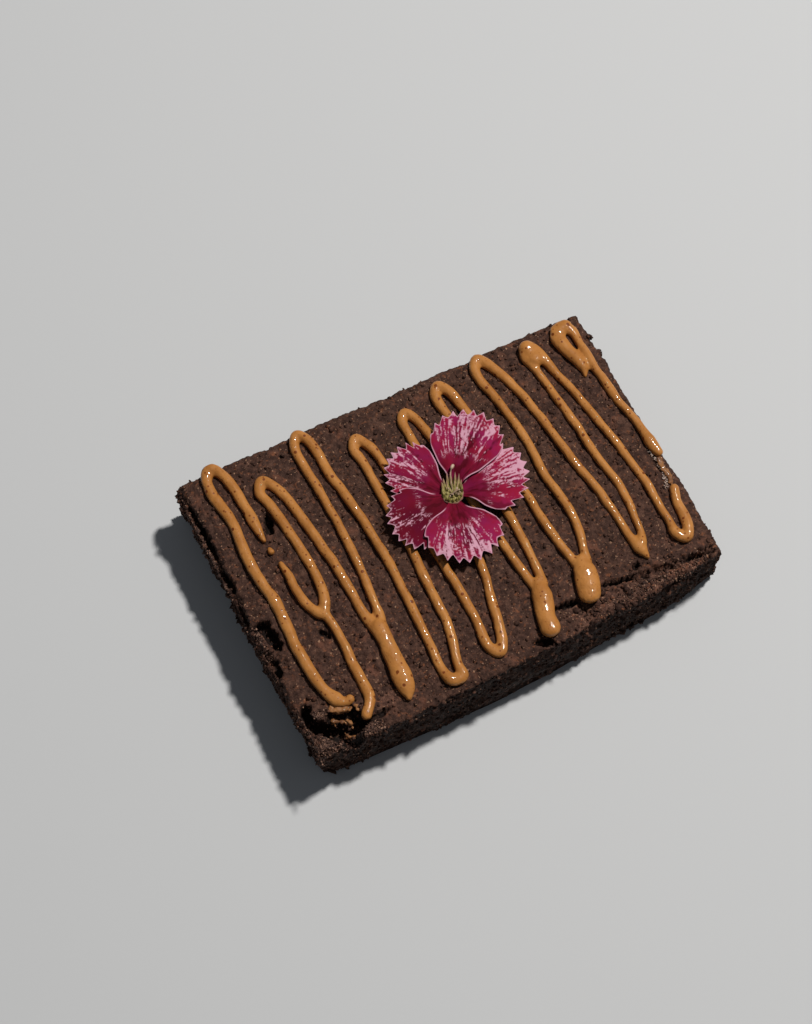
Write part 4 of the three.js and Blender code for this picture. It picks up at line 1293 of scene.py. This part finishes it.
# %% Smears. Each row: count, spread, height that the lumps reach up to from the surface, line
SMEARS = [
    (110, 0.36, 16.2, [[-39.0, -24.0], [-37.6, -25.0], [-35.6, -25.2]]),
    (24, 0.22, 15.3, [[-39.9, -25.9], [-39.2, -26.7]]),
    (16, 0.14, 15.3, [[-38.6, -26.6], [-37.7, -27.3]]),
    (30, 0.20, 15.4, [[-37.0, -27.4], [-36.6, -28.3]]),
    (26, 0.18, 14.2, [[-38.6, -29.3], [-37.2, -30.8]]),
    (14, 0.12, 16.1, [[-34.4, -25.4], [-34.3, -26.6]]),
    (90, 0.24, 16.4, [[44.4, -6.3], [43.8, -7.6], [43.7, -9.3], [44.0, -11.0], [43.4, -12.8]]),
]
smear_centres = []
for count, spread, reach, line in SMEARS:
    xy = along_line(line, count, spread)
    floor_z = top_height(xy[:, 0], xy[:, 1]) + 0.05
    z = mix(floor_z, np.maximum(reach, floor_z + 0.1), draw.random(count) ** 0.5)
    smear_centres.append(np.column_stack([xy, z]))
smear_centres = np.vstack(smear_centres)
smear_sizes = draw.uniform(0.20, 0.42, (len(smear_centres), 1)) * np.array([1.1, 1.0, 0.6])
smears = lumps("butter_smears", smear_centres, smear_sizes, thin_butter_with_painted_shade, 32, 0.2)
voxel_join(smears, SMEAR_VOXEL, 2)

# %% [markdown]
# ## Floor, light and camera
# The floor is plain and pale. One soft key light stands high on the right, as the sun does in the
# photograph, so the shadows fall to the left; a weak fill opens the dark side. The camera looks
# down from the front left with an 85 mm lens.

# %% Stage
floor_material, tree, shader = finish("pale_floor", 0.8)
shader.inputs["Base Color"].default_value = (0.52, 0.53, 0.54, 1)
floor_corners = [(-3, -3, 0), (3, -3, 0), (3, 3, 0), (-3, 3, 0)]  # in metres
floor_mesh = bpy.data.meshes.new("floor")
floor_mesh.from_pydata(floor_corners, [], [(0, 1, 2, 3)])
floor_mesh.materials.append(floor_material)
floor = bpy.data.objects.new("floor", floor_mesh)
bpy.context.scene.collection.objects.link(floor)


def soft_light(name, direction, distance, size, power, colour=(1, 1, 1)):
    """A round light that stands in a direction from the object and faces it."""
    data = bpy.data.lights.new(name, "AREA")
    data.shape = "DISK"
    data.size = size
    data.energy = power
    data.color = colour
    light = bpy.data.objects.new(name, data)
    towards = Vector(direction).normalized()
    light.location = towards * distance
    light.rotation_euler = towards.to_track_quat("Z", "Y").to_euler()
    bpy.context.scene.collection.objects.link(light)


soft_light("key", (0.497, 0.110, 1.0), 1.2, 0.10, 15.5, (1.0, 0.97, 0.93))
soft_light("fill", (-0.3, -0.3, 1.0), 1.4, 0.9, 0.35, (0.93, 0.97, 1.0))
world = bpy.data.worlds.new("studio")
world.use_nodes = True
world.node_tree.nodes["Background"].inputs["Color"].default_value = (0.80, 0.86, 0.95, 1)
world.node_tree.nodes["Background"].inputs["Strength"].default_value = 0.10
bpy.context.scene.world = world
bpy.context.scene.view_settings.view_transform = "Standard"

# %% Camera. It was fitted to the corners of the slab in the photograph; places are in millimetres
LENS = 85
AZIMUTH, ELEVATION, ROLL = np.radians([-25.146, 68.387, -1.885])
CAMERA_AT = np.array([-83.652, -156.632, 470.350])
backward = np.array(
    [np.sin(AZIMUTH) * np.cos(ELEVATION), -np.cos(AZIMUTH) * np.cos(ELEVATION), np.sin(ELEVATION)]
)
level_right = np.cross([0, 0, 1], backward)
level_right /= np.linalg.norm(level_right)
level_up = np.cross(backward, level_right)
camera_right = np.cos(ROLL) * level_right + np.sin(ROLL) * level_up
camera_up = -np.sin(ROLL) * level_right + np.cos(ROLL) * level_up
camera_data = bpy.data.cameras.new("camera")
camera_data.lens = LENS
camera_data.clip_start = 0.01
camera = bpy.data.objects.new("camera", camera_data)
bpy.context.scene.collection.objects.link(camera)
turn_matrix = Matrix(np.column_stack([camera_right, camera_up, backward]).tolist()).to_4x4()
camera.matrix_world = Matrix.Translation(Vector((CAMERA_AT + SHIFT) / 1000)) @ turn_matrix
bpy.context.scene.camera = camera
